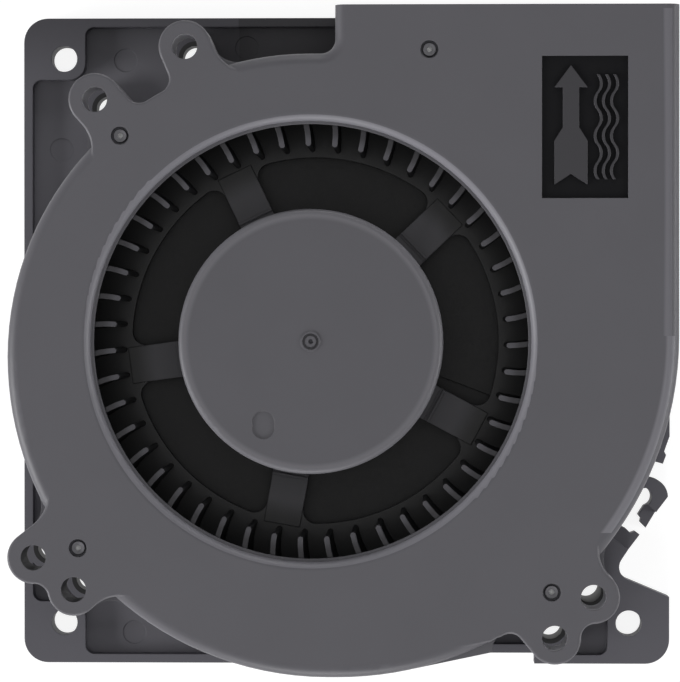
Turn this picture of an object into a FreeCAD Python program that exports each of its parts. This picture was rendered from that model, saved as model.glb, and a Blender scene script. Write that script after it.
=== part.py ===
"""Radial DC blower fan in a square housing, written piece by piece as STEP files.

The fan lies on its back. z = 0 is the back mounting face, +Z points out of the inlet and
+Y out of the outlet. The origin is the centre of the square back plate. Sizes are millimetres.
"""

import FreeCAD, Part
import math
import os

# Housing, outside
plate_side = 120.0
housing_depth = 32.0
plate_corner_radius = 4.5
floor_thickness = 2.0
rim_height = 3.0
rim_width = 1.6
pocket_corner_radius = 1.7
edge_notch_from_right = 25.0
edge_notch_length = 20.0
edge_notch_depth = 2.0
cover_wall = 1.8
cover_roof = 2.0
cover_edge_radius = 2.0
seat_gap = 0.15
cut_past = 1.0
same_place = 1e-3

# Scroll: gaps between the wheel and the wall, how far the arcs' centres step, and the
# straight run from the upper arc to the duct's inner corner
gap_top = 5.6
gap_left = 8.5
gap_bottom = 14.2
spiral_step_left = 2.75
spiral_step_right = 1.0
scroll_top_run = 2.05
outlet_corner_radius = 2.5

# Inlet
inlet_radius = 39.4
inlet_lip_radius = 1.45
inlet_collar_wall = 1.6
inlet_collar_drop = 1.1
inlet_step = 0.5
inlet_step_height = 0.6

# Screw ears of the cover, with the low bosses of the base under them. Each ear has the arc
# of the scroll that it stands on, its angle on that arc and its distance outside the wall.
ear_hole_radius = 2.25
ear_radius = 4.7
ear_height = 10.0
ear_blend_radius = 2.5
ear_root_radius = 4.5
ear_edge_radius = 0.5
ear_cap_margin = 0.05
ear_stem_length = 11.75
ear_boss_radius = 4.2
ear_places = {
    "upper_right": ("upper", 111.9, 5.5),
    "upper_left": ("upper", 129.85, 5.7),
    "left_outer": ("left", 214.35, 6.28),
    "left_inner": ("left", 222.56, 4.18),
    "lower_outer": ("right", -45.5, 4.2),
    "lower_inner": ("right", -54.2, 5.33),
}
tall_boss_heights = {"lower_outer": 13.0, "lower_inner": 7.0}

# Open side of each ear, where its root is rounder: 1 is on the left, seen towards the axis
ear_open_sides = {
    "upper_right": 1,
    "upper_left": -1,
    "left_outer": 1,
    "left_inner": -1,
    "lower_outer": -1,
}

# Straight web between the lower inner ear and the scroll's right arc
lower_web_angle = -78.0
lower_web_length = 15.5
lower_web_depth = 6.0

# Staking posts of the base, in bosses of the cover: three on the arcs, one in the duct
post_places = (("upper", 130.6, -2.17), ("left", 217.5, -1.2), ("right", -50.0, -1.45))
duct_post_from_left = 16.8
duct_post_from_mouth = 8.0
post_radius = 1.15
post_foot_radius = 1.8
post_boss_radius = 3.0
post_gap = 0.1
post_step_height = 20.0
post_well_radius = 1.6
post_well_depth = 1.5
post_below_face = 0.8
post_dimple_radius = 0.5

# Tongue that parts the scroll from the outlet
tongue_sag = 2.3

# Corner lugs. The lower right one has a shoulder, a waist, a neck and a step, given by their
# distance in from the right edge and up from the lower edge.
lug_hole_radius = 2.4
lug_edge_distance = 7.5
lug_pad_side = 11.4
lug_pad_corner_radius = 3.0
lug_shoulder_rise = 12.4
lug_waist = (10.5, 16.8)
lug_waist_radius = 2.5
lug_neck = (7.6, 21.2)
lug_step = (13.0, 25.3)
lug_root = (17.1, 21.9)
lug_web_rise = 9.4

# Marks on the floor, the locating rib and the lead's way out
pin_mark_radius = 2.15
pin_mark_depth = 0.12
upper_pin_marks = ((18.7, 7.6), (6.7, 24.3), (41.4, 5.3))
lower_pin_marks = ((20.3, 5.4),)
rib_width = 1.2
rib_height = 1.5
channel_angle = -21.0
channel_width = 4.2
channel_depth = 1.0
channel_start = 9.5
exit_height = 2.2

# Lead clips on the right edge of the base: corners as distances in from the right edge
# and up from the lower edge. The hook's outer bend and its inner bend are round. The roots
# reach well under the scroll.
clip_height = 4.0
clip_low_height = 1.6
clip_bar = ((10.0, 46.2), (0.0, 46.2), (0.0, 42.3), (1.0, 39.5), (0.65, 38.8), (1.25, 37.2), (11.1, 39.9))
clip_hook_root = ((13.5, 31.6), (12.6, 36.25), (3.1, 34.5))
clip_hook_outer_bend = ((3.1, 34.5), (0.8, 32.85), (0.3, 31.1))
clip_hook_end = ((0.3, 31.1), (2.5, 28.2), (4.0, 29.6))
clip_hook_inner_bend = ((4.0, 29.6), (3.3, 31.3), (4.4, 32.7))
clip_tip = ((2.5, 28.2), (4.3, 25.2), (5.3, 26.2), (5.15, 26.9), (5.7, 27.6), (4.6, 29.3), (4.0, 29.6))
clip_stop = ((14.0, 28.2), (7.9, 25.0), (7.1, 24.2), (6.2, 24.5), (5.4, 23.9), (7.0, 21.8),
             (8.2, 20.2), (14.0, 19.9))

# Air-flow mark on the cover
mark_edge_gap = 9.2
mark_width = 15.3
mark_height = 25.3
mark_depth = 0.4
arrow_left_gap = 2.2
arrow_tip_gap = 1.7
arrow_width = 5.9
arrow_shaft_width = 2.9
arrow_length = 21.2
arrow_head_length = 3.9
arrow_tail_length = 7.8
arrow_tail_slope = 2.4
arrow_notch = 1.9
wave_count = 3
wave_right_gap = 1.7
wave_pitch = 1.45
wave_thickness = 0.5
wave_height = 1.1
wave_half_length = 3.1
wave_halves = 6

# Impeller
blade_count = 47
blade_first_angle = 6.5
blade_inner_radius = 35.5
blade_thickness = 0.95
blade_sweep = 2.65
blade_bow = 0.5
blade_past_ring = 0.2
blade_top_gap = 1.8
wheel_floor_gap = 2.5
wheel_ring_inner_radius = 34.0
wheel_ring_thickness = 1.5
spoke_count = 5
spoke_first_angle = 43.7
spoke_width = 6.7
spoke_thickness = 2.0
spoke_overlap = 0.6
spoke_root_radius = 2.5
spoke_lip_length = 1.0
spoke_lip_height = 0.8
hub_radius = 23.7
hub_wall = 1.5
hub_roof = 1.6
hub_below_face = 1.5
hub_edge_radius = 1.0
hub_gate_radius = 1.45
hub_gate_depth = 0.5
hub_gate_lip_width = 0.35
hub_gate_lip_height = 0.15
hub_gate_stub_radius = 1.05
hub_gate_dimple_radius = 0.45
hub_mark_x = -8.45
hub_mark_y = -14.9
hub_mark_radius = 2.0
hub_mark_stretch = 1.0
hub_mark_depth = 0.25

# Rotor metal
fit_gap = 0.02
yoke_wall = 1.0
magnet_wall = 2.2
magnet_below_stack = 1.0
magnet_above_stack = 2.0
shaft_radius = 1.5
shaft_into_hub = 0.7
shaft_chamfer = 0.3
shaft_tip_below_clip = 0.8
shaft_groove_radius = 1.0
bush_radius = 3.2
bush_flange_radius = 5.0
bush_flange_thickness = 1.0
bush_drop = 2.9
spring_length = 2.5
spring_wire_radius = 0.15
spring_shaft_gap = 0.3
spring_turns = 3.5
clip_ring_thickness = 0.36
clip_ring_radius = 2.4
clip_ring_mouth = 1.7
washer_thickness = 0.2

# Ball bearings, 3 x 8 x 4
bearing_radius = 4.0
bearing_width = 4.0
bearing_inner_land = 2.2
bearing_outer_land = 3.3
ball_count = 7
ball_radius = 0.75
groove_gap = 0.1
pocket_gap = 0.06
cage_wall = 0.6
cage_below_centre = 1.2
cage_above_centre = 0.35
shield_thickness = 0.2
shield_seat = 0.2
shield_bore = 2.35

# Bearing tube and the motor's seat in the base
tube_radius = 5.5
tube_neck_radius = 3.4
tube_foot = 2.6
tube_lip = 0.4
motor_boss_radius = 7.5
motor_boss_height = 5.5
service_hole_radius = 4.5
cap_flange_thickness = 0.5
cap_plug_height = 0.9
cap_plug_wall = 1.0
label_radius = 16.8
label_recess_depth = 0.4
label_thickness = 0.2
label_edge_gap = 0.3

# Stator
board_thickness = 1.2
board_edge_gap = 4.4
board_gap = 0.08
winding_room = 4.0
pole_count = 4
pole_first_angle = 0.0
stack_sheet = 0.5
sheet_gap = 0.02
former_roof_gap = 2.1
air_gap = 0.4
core_past_pins = 0.1
pole_arm_half_width = 2.0
pole_shoe_thickness = 2.9
pole_shoe_half_angle = 38.0
former_wall = 0.6
former_flange_rise = 3.1
former_gap = 0.03
former_shoe_half_angle = 18.0
coil_build = 2.6
coil_corner_radius = 1.2
pin_count = 3
pin_radius = 0.4
pin_boss_gap = 0.2
pin_first_angle = 75.0
pin_pitch_angle = 30.0
pin_below_board = 0.6
pin_below_stack = 1.0

# Parts on the board
chip_size = (4.9, 3.9, 1.5)
hall_size = (1.6, 3.0, 2.6)
resistor_size = (1.6, 0.8, 0.45)
resistor_count = 3
resistor_pitch_angle = 14.0
capacitor_radius = 2.0
capacitor_height = 4.3
capacitor_base_side = 4.3
capacitor_base_height = 0.8
chip_angle = 225.0
hall_angle = 45.0
resistor_first_angle = 300.0
capacitor_angle = 135.0

# Levels and places that follow from the sizes above
plate_half = plate_side / 2
roof_level = housing_depth - cover_roof
wheel_radius = plate_half - cover_wall - gap_bottom
axis_x = -plate_half + cover_wall + gap_left + wheel_radius
axis_y = 0.0
scroll_top = axis_y + wheel_radius + gap_top + cover_wall
rim_level = floor_thickness + rim_height
lug_offset = plate_half - lug_edge_distance
lug_pad_edge = plate_half - lug_pad_side
mark_left = plate_half - mark_edge_gap - mark_width
mark_bottom = plate_half - mark_edge_gap - mark_height

# The scroll's arcs: centre x, centre y and outer radius
upper_arc_radius = scroll_top + spiral_step_left
scroll_arcs = {
    "upper": (-plate_half + upper_arc_radius, -spiral_step_left, upper_arc_radius),
    "left": (-spiral_step_left, -spiral_step_left, plate_half - spiral_step_left),
    "right": (-spiral_step_right, spiral_step_right, plate_half + spiral_step_right),
}
outlet_left = scroll_arcs["upper"][0] + scroll_top_run + outlet_corner_radius

hub_top = housing_depth - hub_below_face
hub_roof_level = hub_top - hub_roof
hub_inner_radius = hub_radius - hub_wall
wheel_bottom = floor_thickness + wheel_floor_gap
wheel_ring_top = wheel_bottom + wheel_ring_thickness
blade_top = roof_level - blade_top_gap
blade_outer_radius = wheel_radius - blade_thickness / 2 + blade_past_ring

yoke_radius = hub_inner_radius - fit_gap
yoke_roof_level = hub_roof_level - yoke_wall
magnet_radius = yoke_radius - yoke_wall - fit_gap
stator_radius = magnet_radius - magnet_wall - air_gap
bush_bottom = yoke_roof_level - bush_drop

lower_bearing_level = floor_thickness + tube_foot
upper_bearing_level = bush_bottom - spring_length - bearing_width
tube_top = upper_bearing_level + bearing_width + tube_lip
tube_seat_radius = bearing_radius + fit_gap
clip_ring_level = lower_bearing_level - washer_thickness - clip_ring_thickness
shaft_bottom = clip_ring_level - shaft_tip_below_clip
shaft_top = hub_roof_level + shaft_into_hub
ball_circle_radius = (bearing_inner_land + bearing_outer_land) / 2

board_radius = hub_inner_radius - board_edge_gap
board_part_circle = (motor_boss_radius + board_radius) / 2
board_level = floor_thickness + motor_boss_height
board_top = board_level + board_thickness
pin_circle_radius = motor_boss_radius + pin_boss_gap + pin_radius
core_ring_radius = pin_circle_radius + core_past_pins
stack_bottom = board_top + winding_room
stack_room = yoke_roof_level - former_roof_gap - former_flange_rise - stack_bottom
sheet_count = round(stack_room / stack_sheet)
stack_height = stack_sheet * sheet_count
stack_top = stack_bottom + stack_height
stack_middle = (stack_bottom + stack_top) / 2


def point(x, y, z=0.0):
    """A point or direction."""
    return FreeCAD.Vector(x, y, z)


def on_circle(radius, angle, x=0.0, y=0.0):
    """The point at an angle in degrees on a circle about (x, y)."""
    turn = math.radians(angle)
    return point(x + radius * math.cos(turn), y + radius * math.sin(turn))


def line(start, end):
    """A straight edge."""
    return Part.LineSegment(start, end).toShape()


def arc(start, middle, end):
    """A round edge through three points."""
    return Part.Arc(start, middle, end).toShape()


def arc_about(x, y, radius, first_angle, last_angle):
    """A round edge about (x, y) from one angle to another, in degrees."""
    middle_angle = (first_angle + last_angle) / 2
    return arc(on_circle(radius, first_angle, x, y), on_circle(radius, middle_angle, x, y),
               on_circle(radius, last_angle, x, y))


def face_of(edges):
    """A flat face inside a closed run of edges."""
    return Part.Face(Part.Wire(edges))


def polygon(corners):
    """A flat face with straight sides between (x, y) corners."""
    points = [point(x, y) for x, y in corners]
    return Part.Face(Part.makePolygon(points + points[:1]))


def rectangle(x_low, x_high, y_low, y_high):
    """A flat rectangle."""
    return polygon(((x_low, y_low), (x_high, y_low), (x_high, y_high), (x_low, y_high)))


def disc(radius, x=0.0, y=0.0):
    """A flat disc."""
    return Part.Face(Part.Wire(Part.makeCircle(radius, point(x, y))))


def sector(inner, outer, half_angle, middle_angle=0.0):
    """A flat piece of a ring about the origin."""
    first = middle_angle - half_angle
    last = middle_angle + half_angle
    return face_of([
        arc_about(0.0, 0.0, outer, first, last),
        line(on_circle(outer, last), on_circle(inner, last)),
        arc_about(0.0, 0.0, inner, last, first),
        line(on_circle(inner, first), on_circle(outer, first)),
    ])


def prism(face, low, high):
    """A flat face made solid between two levels."""
    raised = face.copy()
    raised.translate(point(0.0, 0.0, low))
    return raised.extrude(point(0.0, 0.0, high - low))


def cylinder(radius, low, high, x=0.0, y=0.0):
    """An upright cylinder between two levels."""
    return Part.makeCylinder(radius, high - low, point(x, y, low))


def ring(inner, outer, low, high, x=0.0, y=0.0):
    """An upright ring between two levels."""
    return cylinder(outer, low, high, x, y).cut(cylinder(inner, low, high, x, y))


def block(x_low, x_high, y_low, y_high, low, high):
    """A box between limits."""
    return Part.makeBox(x_high - x_low, y_high - y_low, high - low, point(x_low, y_low, low))


def turned(shape, angle):
    """A copy turned about the origin's upright axis."""
    copy = shape.copy()
    copy.rotate(point(0.0, 0.0), point(0.0, 0.0, 1.0), angle)
    return copy


def moved(shape, x, y, z=0.0):
    """A copy moved by a distance."""
    copy = shape.copy()
    copy.translate(point(x, y, z))
    return copy


def joined(shapes):
    """One solid made of several that overlap or touch."""
    return shapes[0].multiFuse(shapes[1:]).removeSplitter()


def revolved(corners):
    """A solid of revolution about the upright axis, from (radius, level) corners."""
    points = [point(radius, 0.0, level) for radius, level in corners]
    profile = Part.Face(Part.makePolygon(points + points[:1]))
    return profile.revolve(point(0.0, 0.0), point(0.0, 0.0, 1.0), 360.0)


def united(faces):
    """One flat face that covers several flat faces."""
    slab = joined([prism(face, 0.0, 1.0) for face in faces])
    top = max(slab.Faces, key=lambda face: face.CenterOfMass.z)
    return moved(top, 0.0, 0.0, -1.0)


def blended(face, radius):
    """A flat face whose inner corners are rounded by a radius."""
    return face.makeOffset2D(radius).makeOffset2D(-radius)


def scroll_face(inset, past_mouth=0.0):
    """The outline of the scroll and its outlet duct, moved inwards by an inset."""
    upper_x, upper_y, upper_radius = scroll_arcs["upper"]
    left_x, left_y, left_radius = scroll_arcs["left"]
    right_x, right_y, right_radius = scroll_arcs["right"]
    top = scroll_top - inset
    bottom = -plate_half + inset
    right = plate_half - inset
    left = outlet_left + inset
    mouth = plate_half + past_mouth
    corner = outlet_corner_radius + inset
    return face_of([
        arc_about(upper_x, upper_y, upper_radius - inset, 90.0, 180.0),
        arc_about(left_x, left_y, left_radius - inset, 180.0, 270.0),
        line(point(left_x, bottom), point(right_x, bottom)),
        arc_about(right_x, right_y, right_radius - inset, 270.0, 360.0),
        line(point(right, right_y), point(right, mouth)),
        line(point(right, mouth), point(left, mouth)),
        line(point(left, mouth), point(left, top + corner)),
        arc_about(left - corner, top + corner, corner, 360.0, 270.0),
        line(point(left - corner, top), point(upper_x, top)),
    ])


def beside_wall(arc_name, angle, distance):
    """The (x, y) place at an angle on an arc of the scroll, a distance outside its wall."""
    x, y, radius = scroll_arcs[arc_name]
    place = on_circle(radius + distance, angle, x, y)
    return place.x, place.y


def ear_centres():
    """The centre of each ear by name."""
    return {name: beside_wall(*place) for name, place in ear_places.items()}


def duct_post_centre():
    """The centre of the post in the duct, where the tongue ends."""
    return outlet_left + duct_post_from_left, plate_half - duct_post_from_mouth


def post_centres():
    """The centre of each staking post, the duct's first."""
    return [duct_post_centre()] + [beside_wall(*place) for place in post_places]


def ear_stem(x, y):
    """The round end of an ear and its stem towards the fan's axis."""
    angle = math.degrees(math.atan2(axis_y - y, axis_x - x))
    stem = turned(rectangle(0.0, ear_stem_length, -ear_radius, ear_radius), angle)
    return united([disc(ear_radius, x, y), moved(stem, x, y)])


def ear_root(name, inset, radius):
    """The round corner between the inset scroll and the open side of an ear."""
    arc_x, arc_y, arc_radius = scroll_arcs[ear_places[name][0]]
    arc_centre = point(arc_x, arc_y)
    x, y = ear_centres()[name]
    inwards = point(axis_x - x, axis_y - y).normalize()
    across = point(-inwards.y, inwards.x) * ear_open_sides[name]
    beside = point(x, y) + across * (ear_radius + radius)
    from_arc = beside - arc_centre
    along = from_arc.dot(inwards)
    reach = math.sqrt(along ** 2 - from_arc.dot(from_arc) + (arc_radius - inset + radius) ** 2)
    centre = beside - inwards * (along + reach)
    at_ear = centre - across * radius
    at_scroll = centre + (arc_centre - centre).normalize() * radius
    nearest = centre + ((at_ear + at_scroll) * 0.5 - centre).normalize() * radius
    inside = at_ear - across * ear_radius + inwards * (ear_radius + radius)
    return face_of([arc(at_ear, nearest, at_scroll), line(at_scroll, inside), line(inside, at_ear)])


def lower_web(inset):
    """The web that runs straight off the inset scroll to the lower inner ear."""
    arc_x, arc_y, arc_radius = scroll_arcs["right"]
    start = on_circle(arc_radius - inset, lower_web_angle, arc_x, arc_y)
    web = rectangle(-lower_web_depth, 0.0, 0.0, lower_web_length)
    return moved(turned(web, lower_web_angle), start.x, start.y)


def ears_face(inset, added_radius):
    """All ears with the inset scroll between them, blended where they meet it."""
    parts = [scroll_face(inset, past_mouth=-inset), lower_web(inset)]
    parts += [ear_stem(x, y) for x, y in ear_centres().values()]
    parts += [ear_root(name, inset, ear_root_radius + added_radius) for name in ear_open_sides]
    return blended(united(parts), ear_blend_radius + added_radius)


def ear_lobes():
    """The thick ears: full outline up to the cover's rounding, then a cap with a small edge."""
    low = housing_depth - ear_height
    outline = ears_face(0.0, 0.0)
    lower = prism(outline, low, housing_depth - cover_edge_radius)
    inset = cover_edge_radius + ear_cap_margin
    cap = prism(ears_face(inset, cover_edge_radius), low, housing_depth)
    cap = cap.common(prism(outline, low, housing_depth))
    top_edges = [edge for edge in cap.Edges if is_level(edge, housing_depth)]
    return lower.fuse(cap.makeFillet(ear_edge_radius, top_edges))


def is_level(edge, level):
    """Whether an edge lies flat at a level."""
    box = edge.BoundBox
    return abs(box.ZMin - level) < same_place and abs(box.ZMax - level) < same_place


def tongue_face():
    """The curved wall from the duct's left side to the first post's boss."""
    post_x, post_y = duct_post_centre()
    start = point(outlet_left + cover_wall / 2, scroll_top - cover_wall / 2)
    end = point(post_x, post_y)
    middle = (start + end) * 0.5
    low = point(middle.x, middle.y - tongue_sag)
    edge = arc(start, low, end)
    centre = edge.Curve.Center
    radius = edge.Curve.Radius
    half = cover_wall / 2
    sides = []
    for place in (start, low, end):
        outwards = (place - centre).normalize()
        sides.append((centre + outwards * (radius - half), centre + outwards * (radius + half)))
    return face_of([
        arc(sides[0][0], sides[1][0], sides[2][0]),
        line(sides[2][0], sides[2][1]),
        arc(sides[2][1], sides[1][1], sides[0][1]),
        line(sides[0][1], sides[0][0]),
    ])


def cavity_face():
    """The hollow of the cover, open at the outlet's mouth."""
    hollow = scroll_face(cover_wall, past_mouth=cut_past).cut(tongue_face())
    for x, y in post_centres():
        hollow = hollow.cut(disc(post_boss_radius, x, y))
    largest = max(hollow.Faces, key=lambda face: face.Area)
    pockets = [face for face in hollow.Faces if face.BoundBox.YMax > plate_half]
    return [largest] + [face for face in pockets if not face.isSame(largest)]


def inlet_collar():
    """The short collar under the inlet, with its thin inner step."""
    outer = inlet_radius + inlet_collar_wall
    low = roof_level - inlet_collar_drop
    step_top = low + inlet_step_height
    return revolved((
        (inlet_radius, roof_level + cover_roof / 2),
        (outer, roof_level + cover_roof / 2),
        (outer, low),
        (inlet_radius - inlet_step, low),
        (inlet_radius - inlet_step, step_top),
        (inlet_radius, step_top),
    ))


def air_mark_arrow():
    """The arrow that stands in the air-flow mark and points out of the outlet."""
    middle = mark_left + arrow_left_gap + arrow_width / 2
    tip = mark_bottom + mark_height - arrow_tip_gap
    end = tip - arrow_length
    half = arrow_width / 2
    shaft = arrow_shaft_width / 2
    tail_top = end + arrow_tail_length
    right_side = (
        (half, tip - arrow_head_length),
        (shaft, tip - arrow_head_length),
        (shaft, tail_top + arrow_tail_slope),
        (half, tail_top),
        (half, end),
    )
    corners = [(middle, tip)]
    corners += [(middle + x, y) for x, y in right_side]
    corners += [(middle, end + arrow_notch)]
    corners += [(middle - x, y) for x, y in reversed(right_side)]
    return polygon(corners)


def wave_face(middle_x, middle_y):
    """One wavy line of half-circle-like arcs along Y, made a thin band."""
    step = wave_half_length
    edges = []
    for side in (-1, 1):
        shift = side * wave_thickness / 2
        run = []
        for index in range(wave_halves):
            low = middle_y + (index - wave_halves / 2) * step
            bend = wave_height / 2 * (1 if index % 2 else -1)
            run.append(arc(point(middle_x + shift, low),
                           point(middle_x + shift + bend, low + step / 2),
                           point(middle_x + shift, low + step)))
        edges.append(run)
    low = middle_y - wave_halves / 2 * step
    high = middle_y + wave_halves / 2 * step
    half = wave_thickness / 2
    ends = [line(point(middle_x - half, low), point(middle_x + half, low)),
            line(point(middle_x - half, high), point(middle_x + half, high))]
    return Part.Face(Part.Wire(Part.__sortEdges__(edges[0] + edges[1] + ends)))


def air_mark():
    """The sunk field of the air-flow mark, without the arrow and the waves."""
    field = rectangle(mark_left, mark_left + mark_width, mark_bottom, mark_bottom + mark_height)
    field = field.cut(air_mark_arrow())
    first_x = mark_left + mark_width - wave_right_gap - wave_pitch * (wave_count - 0.5)
    middle_y = mark_bottom + mark_height / 2
    for index in range(wave_count):
        field = field.cut(wave_face(first_x + index * wave_pitch, middle_y))
    return field


def scroll_cover():
    """The front shell: scroll, outlet duct, ears, bosses, tongue and inlet."""
    body = prism(scroll_face(0.0), floor_thickness, housing_depth)
    rounded = []
    for edge in body.Edges:
        at_mouth = edge.BoundBox.YMin > plate_half - same_place
        if is_level(edge, housing_depth) and not at_mouth:
            rounded.append(edge)
    body = body.makeFillet(cover_edge_radius, rounded)
    body = body.fuse(ear_lobes())
    for x, y in post_centres()[1:]:
        body = body.fuse(cylinder(post_boss_radius, floor_thickness, roof_level, x, y))
    for face in cavity_face():
        body = body.cut(prism(face, floor_thickness, roof_level))
    body = body.fuse(moved(inlet_collar(), axis_x, axis_y))
    above = housing_depth + cut_past
    body = body.cut(cylinder(inlet_radius, roof_level, above, axis_x, axis_y))
    rim = [edge for edge in body.Edges if is_inlet_rim(edge)]
    body = body.makeFillet(inlet_lip_radius, rim)
    for x, y in ear_centres().values():
        body = body.cut(cylinder(ear_hole_radius, 0.0, above, x, y))
    foot_top = floor_thickness + post_step_height + post_gap
    for x, y in post_centres():
        body = body.cut(cylinder(post_foot_radius + post_gap, 0.0, foot_top, x, y))
        body = body.cut(cylinder(post_radius + post_gap, 0.0, above, x, y))
        well_floor = housing_depth - post_well_depth
        body = body.cut(cylinder(post_well_radius, well_floor, above, x, y))
    body = body.cut(prism(air_mark(), housing_depth - mark_depth, above))
    body = body.cut(channel_block(wheel_radius, floor_thickness, floor_thickness + exit_height))
    return body.removeSplitter()


def is_inlet_rim(edge):
    """Whether an edge is the inlet's outer circle on the cover's face."""
    round_edge = hasattr(edge.Curve, "Radius")
    if not round_edge or not is_level(edge, housing_depth):
        return False
    return abs(edge.Curve.Radius - inlet_radius) < same_place


def channel_block(start, low, high):
    """A straight bar along the lead's channel, from a distance to past the wall."""
    bar = block(start, plate_side, -channel_width / 2, channel_width / 2, low, high)
    return moved(turned(bar, channel_angle), axis_x, axis_y)


def in_from_corner(place, side_x, side_y):
    """The (x, y) place that lies a pair of distances in from a corner of the plate."""
    return side_x * (plate_half - place[0]), side_y * (plate_half - place[1])


def at_lower_right(places):
    """Places given by their distances in from the plate's lower right corner."""
    return [in_from_corner(place, 1, -1) for place in places]


def lug_face():
    """The lower right lug with its slanted shoulder, waist, neck and step."""
    corners = ((lug_root[0], 0.0), (0.0, 0.0), (0.0, lug_shoulder_rise))
    return polygon(at_lower_right(corners + (lug_waist, lug_neck, lug_step, lug_root)))


def plate_face():
    """The outline of the base: square on the left, scroll on the right, one lug."""
    duct_middle = outlet_left + cover_wall
    left = rectangle(-plate_half, duct_middle, -plate_half, plate_half)
    strip = rectangle(outlet_left, lug_pad_edge, -plate_half, -plate_half / 2)
    outline = united([scroll_face(0.0), left, strip, lug_face()])
    corners = ((-plate_half, plate_half), (-plate_half, -plate_half), (plate_half, -plate_half))
    outline = rounded_corners(outline, corners, plate_corner_radius)
    outline = rounded_corners(outline, at_lower_right((lug_waist,)), lug_waist_radius)
    notch_right = plate_half - edge_notch_from_right
    notch = rectangle(notch_right - edge_notch_length, notch_right,
                      -plate_half - cut_past, -plate_half + edge_notch_depth)
    return outline.cut(notch).Faces[0]


def is_upright(edge):
    """Whether an edge is straight and stands upright."""
    box = edge.BoundBox
    return box.XLength < same_place and box.YLength < same_place


def rounded_corners(face, corners, radius):
    """A flat face with the named (x, y) corners rounded."""
    slab = prism(face, 0.0, 1.0)
    edges = []
    for edge in slab.Edges:
        here = edge.BoundBox.Center
        named = any(math.hypot(here.x - x, here.y - y) < same_place for x, y in corners)
        if named and is_upright(edge):
            edges.append(edge)
    slab = slab.makeFillet(radius, edges)
    top = max(slab.Faces, key=lambda face: face.CenterOfMass.z)
    return moved(top, 0.0, 0.0, -1.0)


def rim_face(outline):
    """The rim of the base with the flat pads round the corner holes."""
    edge = lug_pad_edge
    high = plate_half
    inner = plate_half - rim_width
    band = outline.cut(outline.makeOffset2D(-rim_width))
    pads = [
        rectangle(-high, -edge, edge, high),
        rectangle(-high, -edge, -high, -edge),
        rectangle(edge, high, -high, -edge),
        rectangle(high - lug_root[0], high, -high + lug_web_rise, -high + lug_step[1]),
    ]
    face = united(list(band.Faces) + [pad.common(outline) for pad in pads])
    face = rounded_corners(face, ((-edge, edge), (-edge, -edge)), lug_pad_corner_radius)
    roots = ((-edge, inner), (-inner, edge), (-edge, -inner), (-inner, -edge), (edge, -inner))
    return rounded_corners(face, roots, pocket_corner_radius)


def base_plate():
    """The back shell: plate, rim, pads, bosses, posts, rib, clips and motor seat."""
    outline = plate_face()
    scroll_clear = scroll_face(-seat_gap)
    solid = prism(outline, 0.0, floor_thickness)
    inside = prism(scroll_clear, floor_thickness, housing_depth)
    parts = [prism(rim_face(outline), floor_thickness, rim_level).cut(inside)]
    for name, (x, y) in ear_centres().items():
        height = tall_boss_heights.get(name, rim_height)
        boss = cylinder(ear_boss_radius, floor_thickness, floor_thickness + height, x, y)
        parts.append(boss.common(prism(outline, 0.0, housing_depth)).cut(inside))
    parts.append(lead_clips(inside))
    parts.append(locating_rib())
    parts.append(cylinder(motor_boss_radius, floor_thickness, board_level, axis_x, axis_y))
    solid = solid.fuse(parts)
    for x, y in post_centres():
        solid = solid.fuse(staking_post(x, y))
    for x, y in ear_centres().values():
        solid = solid.cut(cylinder(ear_hole_radius, -cut_past, housing_depth, x, y))
    for x, y in ((-lug_offset, lug_offset), (-lug_offset, -lug_offset), (lug_offset, -lug_offset)):
        solid = solid.cut(cylinder(lug_hole_radius, -cut_past, housing_depth, x, y))
    marks = [in_from_corner(place, -1, 1) for place in upper_pin_marks]
    marks += [in_from_corner(place, -1, -1) for place in lower_pin_marks]
    for x, y in marks:
        low = floor_thickness - pin_mark_depth
        solid = solid.cut(cylinder(pin_mark_radius, low, floor_thickness + cut_past, x, y))
    return motor_seat(solid).removeSplitter()


def motor_seat(solid):
    """Cuts the tube's bore, the service hole, the label's recess and the lead's channel."""
    solid = solid.cut(cylinder(tube_radius + fit_gap, floor_thickness, housing_depth, axis_x, axis_y))
    solid = solid.cut(cylinder(service_hole_radius, -cut_past, housing_depth, axis_x, axis_y))
    label_hole = label_radius + label_edge_gap
    solid = solid.cut(cylinder(label_hole, -cut_past, label_recess_depth, axis_x, axis_y))
    low = floor_thickness - channel_depth
    return solid.cut(channel_block(channel_start, low, floor_thickness + rib_height + cut_past))


def staking_post(x, y):
    """A stepped post whose dimpled tip is spread in the cover's well."""
    foot = cylinder(post_foot_radius, floor_thickness, floor_thickness + post_step_height, x, y)
    tip_level = housing_depth - post_below_face
    tip = cylinder(post_radius, floor_thickness + post_step_height, tip_level, x, y)
    dimple = Part.makeSphere(post_dimple_radius, point(x, y, tip_level))
    return foot.fuse(tip).cut(dimple)


def locating_rib():
    """The low rib inside the cover's wall, left out at the outlet, posts and lead."""
    outer = cover_wall + seat_gap
    band = scroll_face(outer).cut(scroll_face(outer + rib_width, past_mouth=cut_past))
    band = band.cut(rectangle(scroll_arcs["upper"][0], plate_side, axis_y, plate_side))
    for x, y in post_centres():
        band = band.cut(disc(post_boss_radius + seat_gap, x, y))
    return prism(band, floor_thickness, floor_thickness + rib_height)


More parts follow.
